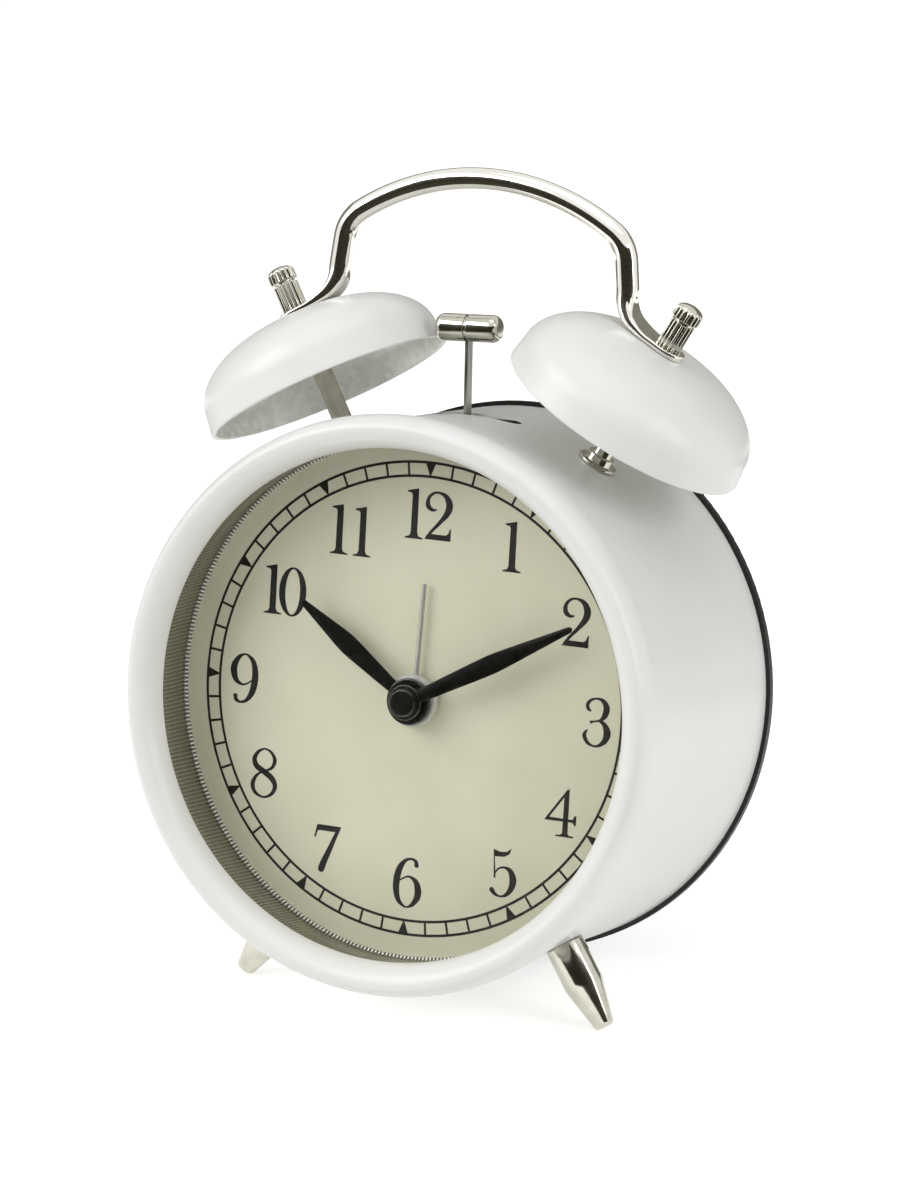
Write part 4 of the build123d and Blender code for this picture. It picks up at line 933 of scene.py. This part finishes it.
# Each digit in dial units: strokes and closed loops of (x, z, half width), plates of (x, z), discs of
# (x, z, radius), and a ring of its outer radii, its inner radii and its middle's height.
DIGITS = {
    "0": {"ring": ((2.6, 4.22), (1.4, 3.88), -0.1)},
    "1": {"plates": [[
        (-1.55, 3.80), (0.58, 4.30), (0.60, 3.2), (0.66, -3.2), (0.9, -3.75), (1.75, -4.0), (1.75, -4.2),
        (-1.6, -4.2), (-1.6, -4.0), (-0.8, -3.75), (-0.55, -3.2), (-0.55, 3.1), (-0.75, 3.45),
        (-1.5, 3.58)]]},
    "2": {
        "strokes": [[
            (-0.55, 1.05, 0.10), (-1.45, 0.95, 0.30), (-2.25, 1.65, 0.42), (-2.15, 2.9, 0.30),
            (-1.3, 3.75, 0.22), (-0.2, 3.9, 0.20), (1.0, 3.4, 0.42), (1.72, 2.1, 0.62), (1.45, 0.7, 0.55),
            (0.3, -0.85, 0.35), (-1.2, -2.5, 0.26), (-2.2, -3.75, 0.22)]],
        "plates": [[
            (-2.65, -4.05), (2.25, -4.05), (2.25, -1.95), (2.05, -2.0), (1.8, -2.75), (1.35, -3.1),
            (-1.6, -3.1), (-1.9, -3.3)]]},
    "3": {"strokes": [
        [(-1.05, 1.75, 0.12), (-1.65, 2.15, 0.30), (-1.72, 2.95, 0.30), (-1.1, 3.65, 0.22), (0, 3.95, 0.18),
         (1.05, 3.6, 0.38), (1.68, 2.6, 0.56), (1.45, 1.3, 0.50), (0.75, 0.45, 0.25), (-0.2, 0.15, 0.14),
         (-0.8, 0, 0.22), (-1.15, -0.15, 0.28)],
        [(0.6, 0.3, 0.2), (1.5, -0.3, 0.42), (2.05, -1.6, 0.65), (1.7, -2.9, 0.5), (0.8, -3.75, 0.28),
         (-0.2, -4.0, 0.17), (-1.3, -3.6, 0.28), (-2.0, -2.6, 0.36), (-1.9, -1.9, 0.28),
         (-1.5, -1.35, 0.08)]]},
    "4": {
        "strokes": [[(1.2, 4.1, 0.20), (-0.68, 1.5, 0.20), (-2.55, -1.1, 0.20)]],
        "plates": [
            [(0.5, 2.9), (1.38, 4.45), (1.46, -3.2), (1.7, -3.5), (2.55, -3.62), (2.55, -3.85),
             (-0.75, -3.85), (-0.75, -3.62), (0.2, -3.5), (0.48, -3.2)],
            [(-2.9, -1.3), (-2.5, -0.75), (1.9, -0.8), (2.35, -0.65), (2.55, -0.1), (2.88, -0.1),
             (2.88, -1.75), (2.6, -1.75), (2.35, -1.35), (1.9, -1.25)]]},
    "5": {
        "strokes": [[
            (-1.5, -0.2, 0.12), (-0.9, 0.6, 0.16), (0.2, 0.9, 0.2), (1.3, 0.4, 0.45), (1.85, -1.0, 0.64),
            (1.6, -2.5, 0.52), (0.7, -3.7, 0.3), (-0.4, -4.05, 0.16), (-1.3, -3.75, 0.3),
            (-1.9, -3.15, 0.42)]],
        "plates": [
            [(-2.0, 3.85), (-1.75, 2.6), (-1.35, -1.0), (-1.7, -1.0)],
            [(-2.0, 3.8), (-0.75, 3.45), (0.5, 3.6), (1.25, 4.25), (1.2, 3.9), (0.9, 3.2), (0, 2.7),
             (-1.7, 2.6)]],
        "discs": [(-1.95, -3.1, 0.42)]},
    "6": {
        "strokes": [[
            (1.65, 3.25, 0.36), (1.5, 3.75, 0.34), (0.7, 4.12, 0.2), (-0.4, 3.75, 0.3), (-1.35, 2.5, 0.52),
            (-1.85, 0.7, 0.62), (-1.9, -1.3, 0.58), (-1.45, -3.0, 0.44), (-0.5, -3.95, 0.24),
            (0.3, -4.15, 0.16), (1.3, -3.6, 0.36), (2.1, -2.3, 0.58), (2.2, -1.0, 0.62), (1.7, 0.35, 0.46),
            (0.7, 1.0, 0.22), (-0.2, 0.95, 0.15), (-1.3, 0.25, 0.12)]],
        "discs": [(1.68, 3.15, 0.42)]},
    "7": {
        "strokes": [[
            (2.0, 3.6, 0.28), (1.35, 2.2, 0.36), (0.45, 0, 0.46), (-0.5, -2.2, 0.56), (-0.95, -3.5, 0.6)]],
        "plates": [[
            (-2.15, 3.95), (2.35, 3.95), (2.3, 3.6), (1.9, 2.95), (-1.9, 2.95), (-2.1, 2.6), (-2.35, 1.7),
            (-2.65, 1.75)]],
        "discs": [(-0.98, -3.6, 0.6)]},
    "8": {"loops": [[
        (0, 4.2, 0.16), (-1.3, 3.6, 0.28), (-2.0, 2.3, 0.42), (-1.5, 1.1, 0.5), (0, 0.25, 0.5),
        (1.5, -0.7, 0.52), (2.2, -2.0, 0.42), (1.6, -3.4, 0.3), (0.1, -4.1, 0.18), (-1.5, -3.5, 0.3),
        (-2.1, -2.2, 0.4), (-1.7, -0.9, 0.3), (-0.8, 0, 0.2), (0.5, 0.55, 0.2), (1.5, 1.2, 0.28),
        (1.9, 2.4, 0.36), (1.3, 3.6, 0.26)]]},
}
DIGITS["9"] = {
    "strokes": [[(-x, -z, half) for x, z, half in DIGITS["6"]["strokes"][0]]],
    "discs": [(-x, -z, radius) for x, z, radius in DIGITS["6"]["discs"]],
}

# Each numeral's place on the dial, and its digits with their places across it.
NUMERALS = [
    (15.9, 27.5, [("1", 0)]), (28.5, 16.3, [("2", 0)]), (33.1, 0.2, [("3", 0)]),
    (27.7, -15.8, [("4", 0)]), (17.9, -27.1, [("5", 0)]), (0.1, -31.2, [("6", 0)]),
    (-15.2, -27.4, [("7", 0)]), (-28.1, -16.1, [("8", 0)]), (-32.8, -0.3, [("9", 0)]),
    (-26.0, 15.6, [("1", -2.35), ("0", 1.4)]), (-14.6, 27.1, [("1", -1.8), ("1", 2.55)]),
    (0.2, 31.2, [("1", -2.7), ("2", 1.95)]),
]


def digit_shells(digit, x, z, height):
    """The shells of one digit at a place on the dial, each a hair higher than the last so none coincide."""
    shells = []
    form = DIGITS[digit]
    shift = np.array((x, z, 0))
    step = height / 12

    def front():
        """The ink's face, one step further out for each shell so far."""
        return -height - step * len(shells)

    for kind, closed in (("strokes", False), ("loops", True)):
        for stroke in form.get(kind, []):
            shells.append(ribbon((np.array(stroke) + shift) * DIAL_UNIT, front(), 0, closed))
    for outline in form.get("plates", []):
        shells.append(prism((np.array(outline) + shift[:2]) * DIAL_UNIT, front(), 0))
    for disc_x, disc_z, radius in form.get("discs", []):
        outline = arc((x + disc_x, z + disc_z), (radius, radius), 0, 345, 24)
        shells.append(prism(outline * DIAL_UNIT, front(), 0))
    if "ring" in form:
        outside, inside, middle = form["ring"]
        shells.append(oval_ring((x, z + middle), outside, inside, front(), 48))
    return shells


def oval_ring(centre, outside, inside, front, count):
    """A flat ring between two ellipses: four loops of points, front and rear of each edge, joined up."""
    last = 360 - 360 / count
    outer = arc(centre, outside, 0, last, count) * DIAL_UNIT
    inner = arc(centre, inside, 0, last, count) * DIAL_UNIT
    loops = [np.insert(loop, 1, depth, axis=1) for loop, depth in
             ((outer, front), (inner, front), (inner, 0), (outer, 0))]
    return np.vstack(loops), quads(len(loops), count, True, True).tolist()


# The minute track in dial units: radii and half width of its two circles, and its marks at twelve.
TRACK_RADII = (40.0, 37.64)
TRACK_HALF_LINE = 0.22
TICK = np.array(((-0.2, 37.6), (0.2, 37.6), (0.2, 40.0), (-0.2, 40.0)))
WEDGE = np.array(((0.0, 37.5), (0.95, 40.0), (-0.95, 40.0)))


def make_print():
    """The dial's print: two thin circles, ticks between them, a wedge at every fifth minute, numerals."""
    sizes = bpy.context.scene.clock_sizes
    height = sizes.print_height
    ink = [MATERIALS["ink"]]
    shells = []
    for radius in TRACK_RADII:
        wide = radius + TRACK_HALF_LINE
        narrow = radius - TRACK_HALF_LINE
        shells.append(oval_ring((0, 0), (wide, wide), (narrow, narrow), -height, 240))
    for minute in range(60):
        turn = math.radians(6 * minute)
        turning = np.array(((math.cos(turn), -math.sin(turn)), (math.sin(turn), math.cos(turn))))
        outline = (WEDGE if minute % 5 == 0 else TICK) @ turning
        shells.append(prism(outline * DIAL_UNIT, -1.08 * height, 0))
    make_piece("minute_track", joined(shells), ink, "case")
    shells = []
    for x, z, digits in NUMERALS:
        for digit, across in digits:
            shells += digit_shells(digit, x + across, z, height)
    make_piece("dial_numerals", joined(shells), ink, "case")


# Hands

def hand_pointing(name):
    """The hand's angle from twelve and its length, from its farthest points."""
    points = node_points(name)
    reach = np.hypot(points[:, 0], points[:, 2])
    tip = points[reach > 0.98 * reach.max()].mean(0)
    return math.atan2(tip[0], tip[2]), reach.max()


def hand_span(name):
    """The front and the rear of a hand along the dial's axis."""
    depth = node_points(name)[:, 1]
    return depth.min(), depth.max()


def hand_blade(name, start, half_widths, face, edge):
    """A leaf blade: the half width is the smaller of two straight tapers, root to middle and middle to tip,
    eased where they meet. The front is crowned across, from the edge's height to the face's, both in
    millimetres before the hand's rear, and the rows run from the hub to a rounded tip."""
    angle, length = hand_pointing(name)
    rear = hand_span(name)[1]
    face = rear - face * MM
    edge = rear - edge * MM
    root, middle, tip = (half_width * MM for half_width in half_widths)
    widest = 0.53
    easing = 16 / middle
    tip_share = 0.02
    straight = 1 - tip_share
    rounding = np.sin(np.linspace(0, np.pi / 2, 9))[1:]
    share = np.concatenate((np.linspace(0, straight, 40), straight + tip_share * rounding))
    growing = root + (middle - root) * share / widest
    falling = tip + (middle - tip) * (1 - share) / (1 - widest)
    half = -np.logaddexp(-easing * growing, -easing * falling) / easing
    half = half * np.sqrt(np.clip(1 - (np.clip(share - straight, 0, 1) / tip_share) ** 2, 0, 1))
    across = np.concatenate((np.linspace(-1, 1, 9), (1, -1)))
    crown = np.concatenate((1 - 0.5 * np.linspace(-1, 1, 9) ** 2, (0, 0)))
    along = start * MM + (length - start * MM) * share
    x = np.outer(half, across)
    z = np.repeat(along[:, None], len(across), 1)
    y = edge + (face - edge) * np.repeat(crown[None], len(share), 0)
    points = np.stack((
        x * math.cos(angle) + z * math.sin(angle), y, z * math.cos(angle) - x * math.sin(angle)
    ), -1).reshape(-1, 3)
    faces = quads(len(share), len(across), close_columns=True).tolist()
    faces.append(list(range(len(across))))
    return points, faces


def hub_shell(section, segments, ring=False, relief=None):
    """A turned hub about the dial's axis."""
    points, faces = lathe(section, segments, ring, relief)
    return in_place(points, DIAL_PLACE), faces.tolist()


def make_hand(name, node_name, body, blade, hub, materials, crease=38.0):
    """One hand: blade and hub in one piece, each with its own finish."""
    bands = np.repeat((0, 1), (len(blade[1]), len(hub[1])))
    shell = joined([blade, hub])
    make_piece(name, shell, materials, body, bands=bands, replaces=[node_name], crease=crease)


def make_hands():
    """The three hands: a blade on a turned hub, each on its own arbor."""
    black = [MATERIALS["black_hand"], MATERIALS["hub"]]
    silver = [MATERIALS["grey_hand"], MATERIALS["collar"]]

    front, rear = hand_span("minute_hand")
    disc = 3.1 * MM
    cap = 2.4 * MM
    step = front + 1.0 * MM
    section = rounded(
        [(0, rear), (disc, rear), (disc, step), (cap, step), (cap, front), (0, front)],
        [0.15 * MM, 0.4 * MM, 0.1 * MM, 0.45 * MM], 9)
    blade = hand_blade("minute_hand", 0, (1.0, 1.7, 0.5), 0.65, 0.2)
    hub = hub_shell(section, 64)
    make_hand("minute_pointer", "minute_hand", "minute_set", blade, hub, black)

    front, rear = hand_span("hour_hand")
    bore = 2.05 * MM
    rim = 4.05 * MM
    section = rounded(
        [(bore, rear), (rim, rear), (rim, front), (bore, front), (bore, rear)],
        [0.1 * MM, 0.4 * MM, 0.1 * MM], 8)[:-1]
    blade = hand_blade("hour_hand", 2.6, (1.05, 1.85, 0.5), 0.75, 0.3)
    hub = hub_shell(section, 80, True)
    make_hand("hour_pointer", "hour_hand", "hour_set", blade, hub, black)

    front = hand_span("alarm_hand")[0]
    bore = 2.85 * MM
    rim = 4.5 * MM
    foot = -0.6 * MM
    ridged = 4.42 * MM
    ridges = 60
    section = rounded(
        [(bore, foot), (rim, foot), (rim, front), (bore, front), (bore, foot)], 0.18 * MM, 5)[:-1]

    def knurl(profile, turn):
        """Fine ridges on the hub's rim only: a cosine of the angle."""
        return (profile[:, :1] > ridged) * 0.07 * MM * (np.cos(ridges * turn) - 1)

    blade = hand_blade("alarm_hand", 3.4, (0.45, 0.45, 0.42), 0.85, 0.4)
    hub = hub_shell(section, 4 * ridges, True, knurl)
    make_hand("alarm_pointer", "alarm_hand", "alarm_set", blade, hub, silver, crease=50.0)


# Back

def rear_place(points):
    """The line from front to back through the middle of some points."""
    middle = (points.min(0) + points.max(0)) / 2
    return axis_place((middle[0], 0, middle[2]), (0, 1, 0), (1, 0, 0))


def make_back():
    """The setting knobs with rounded flutes and a dished end, the cover's print, and its screws."""
    sizes = bpy.context.scene.clock_sizes
    for name, body in (("time_knob", "time_setting"), ("alarm_knob", "alarm_setting")):
        place = rear_place(node_points(name))
        radius, low, high = turned_span(name, place)
        dish = high - 0.45 * MM
        grip = rounded(
            [(0, low), (radius, low), (radius, high), (0.78 * radius, high), (0.68 * radius, dish),
             (0, dish)],
            [0.3 * MM, 0.7 * MM, 0.3 * MM, 0.3 * MM], 6)
        profile = np.vstack((
            grip[:1], np.linspace(grip[0], grip[1], 4)[1:-1], grip[1:6],
            np.linspace(grip[5], grip[6], 8)[1:-1], grip[6:],
        ))

        def flutes(section, turn):
            """Finger grooves: a cosine of the angle on the outer part of the knob, fading to its face."""
            grip_share = np.clip((section[:, :1] / radius - 0.8) / 0.16, 0, 1)
            wave = (0.5 - 0.5 * np.cos(sizes.knob_flutes * turn)) ** 1.5
            return -sizes.knob_flute_depth * grip_share * wave

        shell = lathe(profile, sizes.knob_flutes * 10, relief=flutes)
        make_piece(
            f"fluted_{name}", shell, [MATERIALS["white_plastic"]], body, place,
            replaces=[name], crease=45.0,
        )
    make_arrows()
    make_screws()


# The turning arrows on the cover: radii of the line and of the head's two corners, and half the line's
# width.
ARROW_RADIUS = 9.8 * MM
ARROW_HEAD = (8.7 * MM, 10.9 * MM)
ARROW_HALF_LINE = 0.35 * MM


def make_arrows():
    """White print on the cover: above each knob an arc with an arrowhead that shows which way to turn."""
    sizes = bpy.context.scene.clock_sizes
    plane = turned_span("back_cover", DIAL_PLACE)[2]
    front = plane - sizes.print_height
    rear = plane + sizes.print_height
    shells = []
    for name in ("time_knob", "alarm_knob"):
        centre = rear_place(node_points(name))[0][[0, 2]]
        line = arc(centre, (ARROW_RADIUS, ARROW_RADIUS), 128, 56, 25)
        stroke = np.column_stack((line, np.full(len(line), ARROW_HALF_LINE)))
        shells.append(ribbon(stroke, front, rear))
        corners = ((ARROW_HEAD[0], 58), (ARROW_HEAD[1], 58), (ARROW_RADIUS, 46))
        head = np.vstack([arc(centre, (radius, radius), angle, angle, 1) for radius, angle in corners])
        shells.append(prism(head, front, rear + 0.1 * sizes.print_height))
    make_piece("turn_arrows", joined(shells), [MATERIALS["white_plastic"]], "case")


# The cover's screws: their angles round the clock, and the head's and the cross's sizes.
SCREW_ANGLES = (30, 150, 270)
SCREW_SHANK = 1.25 * MM
SCREW_HEAD = 1.1 * MM
SCREW_DOME = 0.35 * MM
CROSS_HALF_WIDTH = 0.36 * MM
CROSS_REACH = 1.45 * MM
CROSS_DEPTH = 0.6 * MM


def make_screws():
    """Pan-head screws: a low dome on a polar grid, sunk by a cross of two bars with sloping walls."""
    points = node_points("cover_screws")
    shells = []
    rear = points[:, 1].max()
    angles = np.degrees(np.arctan2(points[:, 2], points[:, 0]) % (2 * np.pi))
    for angle in SCREW_ANGLES:
        group = points[np.abs((angles - angle + 180) % 360 - 180) < 40]
        place = rear_place(group)
        local = (group - place[0]) @ place[1].T
        radius = np.hypot(local[:, 0], local[:, 1]).max()
        low = local[:, 2].min()
        seat = rear - SCREW_HEAD
        side = rounded([
            (0, low), (SCREW_SHANK, low), (SCREW_SHANK, seat), (radius, seat), (radius, rear - SCREW_DOME),
        ], 0.1 * MM, 3)
        top = np.column_stack((np.linspace(radius, 0, 26)[1:], np.zeros(25)))
        top[:, 1] = rear - SCREW_DOME * (top[:, 0] / radius) ** 2.5
        head_points, head_faces = lathe(np.vstack((side, top)), 96)
        x, y, z = head_points.T
        bar = np.minimum(np.abs(x), np.abs(y))
        reach = np.maximum(np.abs(x), np.abs(y))
        sunk = np.clip((CROSS_HALF_WIDTH - bar) / (0.14 * MM), 0, 1)
        sunk = sunk * np.clip((CROSS_REACH - reach) / (0.3 * MM), 0, 1)
        head_points[:, 2] = np.where(z > rear - SCREW_DOME - 0.01 * MM, z - CROSS_DEPTH * sunk, z)
        shells.append((in_place(head_points, place), head_faces.tolist()))
    make_piece(
        "pan_head_screws", joined(shells), [MATERIALS["steel"]], "case", replaces=["cover_screws"],
    )


# Finishes of the frame's own nodes

def finish_nodes():
    """Gives every CAD node the procedural finish of its slot."""
    for cad_node in frame["nodes"].values():
        for slot in cad_node.material_slots:
            slot.material = MATERIALS[slot.material.name.split(".")[0]]


# Stage

def shown_ray(tree):
    """1 for rays from the camera and for those that gloss and glass send on, 0 for the rest."""
    path = node(tree, "ShaderNodeLightPath").outputs
    direct = {0: path["Is Camera Ray"], 1: path["Is Glossy Ray"]}
    first = node(tree, "ShaderNodeMath", direct, operation="MAXIMUM").outputs["Value"]
    every = {0: first, 1: path["Is Transmission Ray"]}
    return node(tree, "ShaderNodeMath", every, operation="MAXIMUM").outputs["Value"]


# The floor's glow for the rays that show it, which brings its unshaded part to white, and half its width.
FLOOR_LIFT = 0.57
FLOOR_REACH = 6.0


def make_floor():
    """A wide pale floor under the feet, lifted to white for the camera where nothing shades it."""
    material, tree = new_material("studio_floor")
    colours = bpy.context.scene.clock_colours
    cloud = speckle(tree, 60 * MM)
    stops = zip(NOISE_SPAN, (linear("#F1F1EF"), (*colours.floor, 1.0)))
    shade = node(tree, "ShaderNodeValToRGB", {"Fac": cloud}, stops).outputs["Color"]
    paper = node(tree, "ShaderNodeBsdfDiffuse", {"Color": shade}).outputs["BSDF"]
    shown = {0: shown_ray(tree), 1: FLOOR_LIFT}
    lift = node(tree, "ShaderNodeMath", shown, operation="MULTIPLY").outputs["Value"]
    glow = node(tree, "ShaderNodeEmission", {"Color": (1, 1, 1, 1), "Strength": lift}).outputs["Emission"]
    shader = node(tree, "ShaderNodeAddShader", {0: paper, 1: glow}).outputs["Shader"]
    node(tree, "ShaderNodeOutputMaterial", {"Surface": shader})
    reach = FLOOR_REACH * np.linspace(-1, 1, 9)
    x, y = np.meshgrid(reach, reach, indexing="ij")
    points = np.stack((x, y, np.full_like(x, cad_box[0][2])), -1).reshape(-1, 3)
    add_sheet("studio_floor", points, quads(9, 9), material)


def add_sheet(name, points, faces, material):
    """A sheet of the stage, in the shared frame."""
    mesh = bpy.data.meshes.new(name)
    mesh.from_pydata(points.tolist(), [], faces.tolist())
    mesh.materials.append(material)
    sheet = bpy.data.objects.new(name, mesh)
    bpy.context.scene.collection.objects.link(sheet)
    return sheet


def make_card(name, dark, light, profile, sweep):
    """A curved card that only gloss and glass see: a profile of (distance, height) swept about the clock's
    middle between two angles from straight ahead."""
    material, tree = new_material(name)
    weave = speckle(tree, 40 * MM)
    stops = zip(NOISE_SPAN, (linear(dark), linear(light)))
    shade = node(tree, "ShaderNodeValToRGB", {"Fac": weave}, stops).outputs["Color"]
    shader = node(tree, "ShaderNodeBsdfDiffuse", {"Color": shade}).outputs["BSDF"]
    node(tree, "ShaderNodeOutputMaterial", {"Surface": shader})
    turn = np.radians(np.linspace(*sweep, 49))
    distance, height = smooth_path(profile).T
    points = np.stack((
        np.outer(np.sin(turn), distance),
        -np.outer(np.cos(turn), distance),
        np.repeat(height[None], len(turn), 0),
    ), -1)
    card = add_sheet(name, points.reshape(-1, 3), quads(len(turn), len(distance)), material)
    card.visible_camera = False
    card.visible_diffuse = False
    card.visible_shadow = False


# Each lamp's place in the shared frame and its width, and where they all look, in metres.
LAMPS = {
    "left": ((-0.85, -0.8, 0.85), 1.0),
    "right": ((1.0, -0.2, 0.5), 0.6),
    "top": ((0.1, -0.1, 1.2), 0.9),
}
CLOCK_MIDDLE = np.array((0.0, 0.0, 0.07))


def make_lamp(name, place, width, power):
    """A square soft lamp that looks at the clock's middle."""
    lamp = bpy.data.lights.new(name, "AREA")
    lamp.shape = "SQUARE"
    lamp.size = width
    lamp.energy = power
    holder = bpy.data.objects.new(name, lamp)
    holder.matrix_world = aimed(np.array(place), CLOCK_MIDDLE, np.array((0.0, 0.0, 1.0)))
    bpy.context.scene.collection.objects.link(holder)


def aimed(place, target, upward):
    """The matrix of something at a place whose -Z axis looks at the target."""
    back = place - target
    back = back / np.linalg.norm(back)
    side = np.cross(upward, back)
    side = side / np.linalg.norm(side)
    matrix = np.eye(4)
    matrix[:3, 0] = side
    matrix[:3, 1] = np.cross(back, side)
    matrix[:3, 2] = back
    matrix[:3, 3] = place
    return Matrix(matrix.tolist())


# The camera's axes in the case frame, from the fit to the dial's ticks and the bezel's inner edge.
CAMERA_RIGHT = np.array((0.89585, 0.44027, 0.06007))
CAMERA_UP = np.array((-0.11084, 0.09050, 0.98971))


def make_camera(stage):
    """The camera at the photograph's angle, with no shift and nothing out of focus."""
    lens = bpy.data.cameras.new("studio_camera")
    lens.lens = stage.focal_length
    lens.sensor_width = 36.0
    lens.clip_start = 0.05
    matrix = np.eye(4)
    matrix[:3, 0] = CAMERA_RIGHT @ CASE_AXES
    matrix[:3, 1] = CAMERA_UP @ CASE_AXES
    matrix[:3, 2] = np.cross(CAMERA_RIGHT, CAMERA_UP) @ CASE_AXES
    matrix[:3, 3] = to_frame(np.array(stage.camera_place))
    camera = bpy.data.objects.new("studio_camera", lens)
    camera.matrix_world = Matrix(matrix.tolist())
    bpy.context.scene.collection.objects.link(camera)
    bpy.context.scene.camera = camera


# Profiles of the two cards as (distance, height) in metres, each a mat on the floor that curves up, and the
# two angles that each is swept between.
FRONT_CARD = ((0.12, 0.003), (0.3, 0.003), (0.46, 0.03), (0.55, 0.14), (0.56, 0.46))
FRONT_SWEEP = (-42, 84)
REAR_CARD = ((0.25, 0.003), (0.6, 0.003), (0.8, 0.08), (0.85, 0.3), (0.82, 0.55))
REAR_SWEEP = (140, 272)


def make_stage():
    """Floor, white surround, lamps, cards that give the nickel its bands, and the camera."""
    scene = bpy.context.scene
    stage = scene.clock_stage
    scene.view_settings.view_transform = "Standard"
    world = bpy.data.worlds.new("studio")
    world.use_nodes = True
    tree = world.node_tree
    tree.nodes.clear()
    levels = {"Value": shown_ray(tree), "To Min": stage.sky_level, "To Max": 1.0}
    level = node(tree, "ShaderNodeMapRange", levels).outputs["Result"]
    sky = node(tree, "ShaderNodeBackground", {"Color": (1, 1, 1, 1), "Strength": level})
    node(tree, "ShaderNodeOutputWorld", {"Surface": sky.outputs["Background"]})
    scene.world = world
    make_floor()
    make_card("front_card", "#3A382F", "#444238", FRONT_CARD, FRONT_SWEEP)
    make_card("rear_card", "#8A887D", "#969489", REAR_CARD, REAR_SWEEP)
    make_lamp("left_lamp", *LAMPS["left"], stage.left_power)
    make_lamp("right_lamp", *LAMPS["right"], stage.right_power)
    make_lamp("top_lamp", *LAMPS["top"], stage.top_power)
    make_camera(stage)


# Operators

class CLOCK_OT_finishes(bpy.types.Operator):
    """Make the materials and give the frame's nodes their finishes"""
    bl_idname = "clock.finishes"
    bl_label = "Finishes"

    def execute(self, context):
        make_materials()
        finish_nodes()
        return {"FINISHED"}


class CLOCK_OT_case(bpy.types.Operator):
    """Add the rolled bezel and the black strip of painted shade along the hammer's slot"""
    bl_idname = "clock.case"
    bl_label = "Case"

    def execute(self, context):
        make_case()
        return {"FINISHED"}


class CLOCK_OT_bells(bpy.types.Operator):
    """Add the bells, their posts and the knurled nuts"""
    bl_idname = "clock.bells"
    bl_label = "Bells"

    def execute(self, context):
        make_bells()
        make_posts()
        make_finials()
        return {"FINISHED"}


class CLOCK_OT_handle(bpy.types.Operator):
    """Add the carry handle"""
    bl_idname = "clock.handle"
    bl_label = "Handle"

    def execute(self, context):
        make_handle()
        return {"FINISHED"}


class CLOCK_OT_hammer(bpy.types.Operator):
    """Add the hammer's head"""
    bl_idname = "clock.hammer"
    bl_label = "Hammer"

    def execute(self, context):
        make_hammer()
        return {"FINISHED"}


class CLOCK_OT_feet(bpy.types.Operator):
    """Add the two feet"""
    bl_idname = "clock.feet"
    bl_label = "Feet"

    def execute(self, context):
        make_feet()
        return {"FINISHED"}


class CLOCK_OT_dial(bpy.types.Operator):
    """Add the ribbed ring and the dial's print"""
    bl_idname = "clock.dial"
    bl_label = "Dial"

    def execute(self, context):
        make_ring()
        make_print()
        return {"FINISHED"}


class CLOCK_OT_hands(bpy.types.Operator):
    """Add the minute, hour and alarm hands"""
    bl_idname = "clock.hands"
    bl_label = "Hands"

    def execute(self, context):
        make_hands()
        return {"FINISHED"}


class CLOCK_OT_back(bpy.types.Operator):
    """Add the setting knobs, the arrows and the cover's screws"""
    bl_idname = "clock.back"
    bl_label = "Back"

    def execute(self, context):
        make_back()
        return {"FINISHED"}


class CLOCK_OT_stage(bpy.types.Operator):
    """Add the floor, the surround, the cards, the lamps and the camera"""
    bl_idname = "clock.stage"
    bl_label = "Stage"

    def execute(self, context):
        make_stage()
        return {"FINISHED"}


PIECE_OPERATORS = (
    CLOCK_OT_finishes, CLOCK_OT_case, CLOCK_OT_bells, CLOCK_OT_handle, CLOCK_OT_hammer, CLOCK_OT_feet,
    CLOCK_OT_dial, CLOCK_OT_hands, CLOCK_OT_back, CLOCK_OT_stage,
)


class CLOCK_PT_sidebar(bpy.types.Panel):
    """The clock's settings and its operators, in order"""
    bl_idname = "CLOCK_PT_sidebar"
    bl_label = "Alarm clock"
    bl_space_type = "VIEW_3D"
    bl_region_type = "UI"
    bl_category = "Alarm clock"

    def draw(self, context):
        for group in (context.scene.clock_sizes, context.scene.clock_colours, context.scene.clock_stage):
            for name in group.__annotations__:
                self.layout.prop(group, name)
        for operator in PIECE_OPERATORS:
            self.layout.operator(operator.bl_idname)


CLASSES = (ClockSizes, ClockColours, ClockStage, *PIECE_OPERATORS, CLOCK_PT_sidebar)


def register():
    """Registers the classes and hangs the settings on the scene."""
    for cls in CLASSES:
        bpy.utils.register_class(cls)
    bpy.types.Scene.clock_sizes = bpy.props.PointerProperty(type=ClockSizes)
    bpy.types.Scene.clock_colours = bpy.props.PointerProperty(type=ClockColours)
    bpy.types.Scene.clock_stage = bpy.props.PointerProperty(type=ClockStage)


def unregister():
    """Takes the settings and the classes away again."""
    del bpy.types.Scene.clock_stage
    del bpy.types.Scene.clock_colours
    del bpy.types.Scene.clock_sizes
    for cls in reversed(CLASSES):
        bpy.utils.unregister_class(cls)


def main():
    """Builds every piece in order."""
    register()
    bpy.ops.clock.finishes()
    bpy.ops.clock.case()
    bpy.ops.clock.bells()
    bpy.ops.clock.handle()
    bpy.ops.clock.hammer()
    bpy.ops.clock.feet()
    bpy.ops.clock.dial()
    bpy.ops.clock.hands()
    bpy.ops.clock.back()
    bpy.ops.clock.stage()


if __name__ == "__main__":
    main()
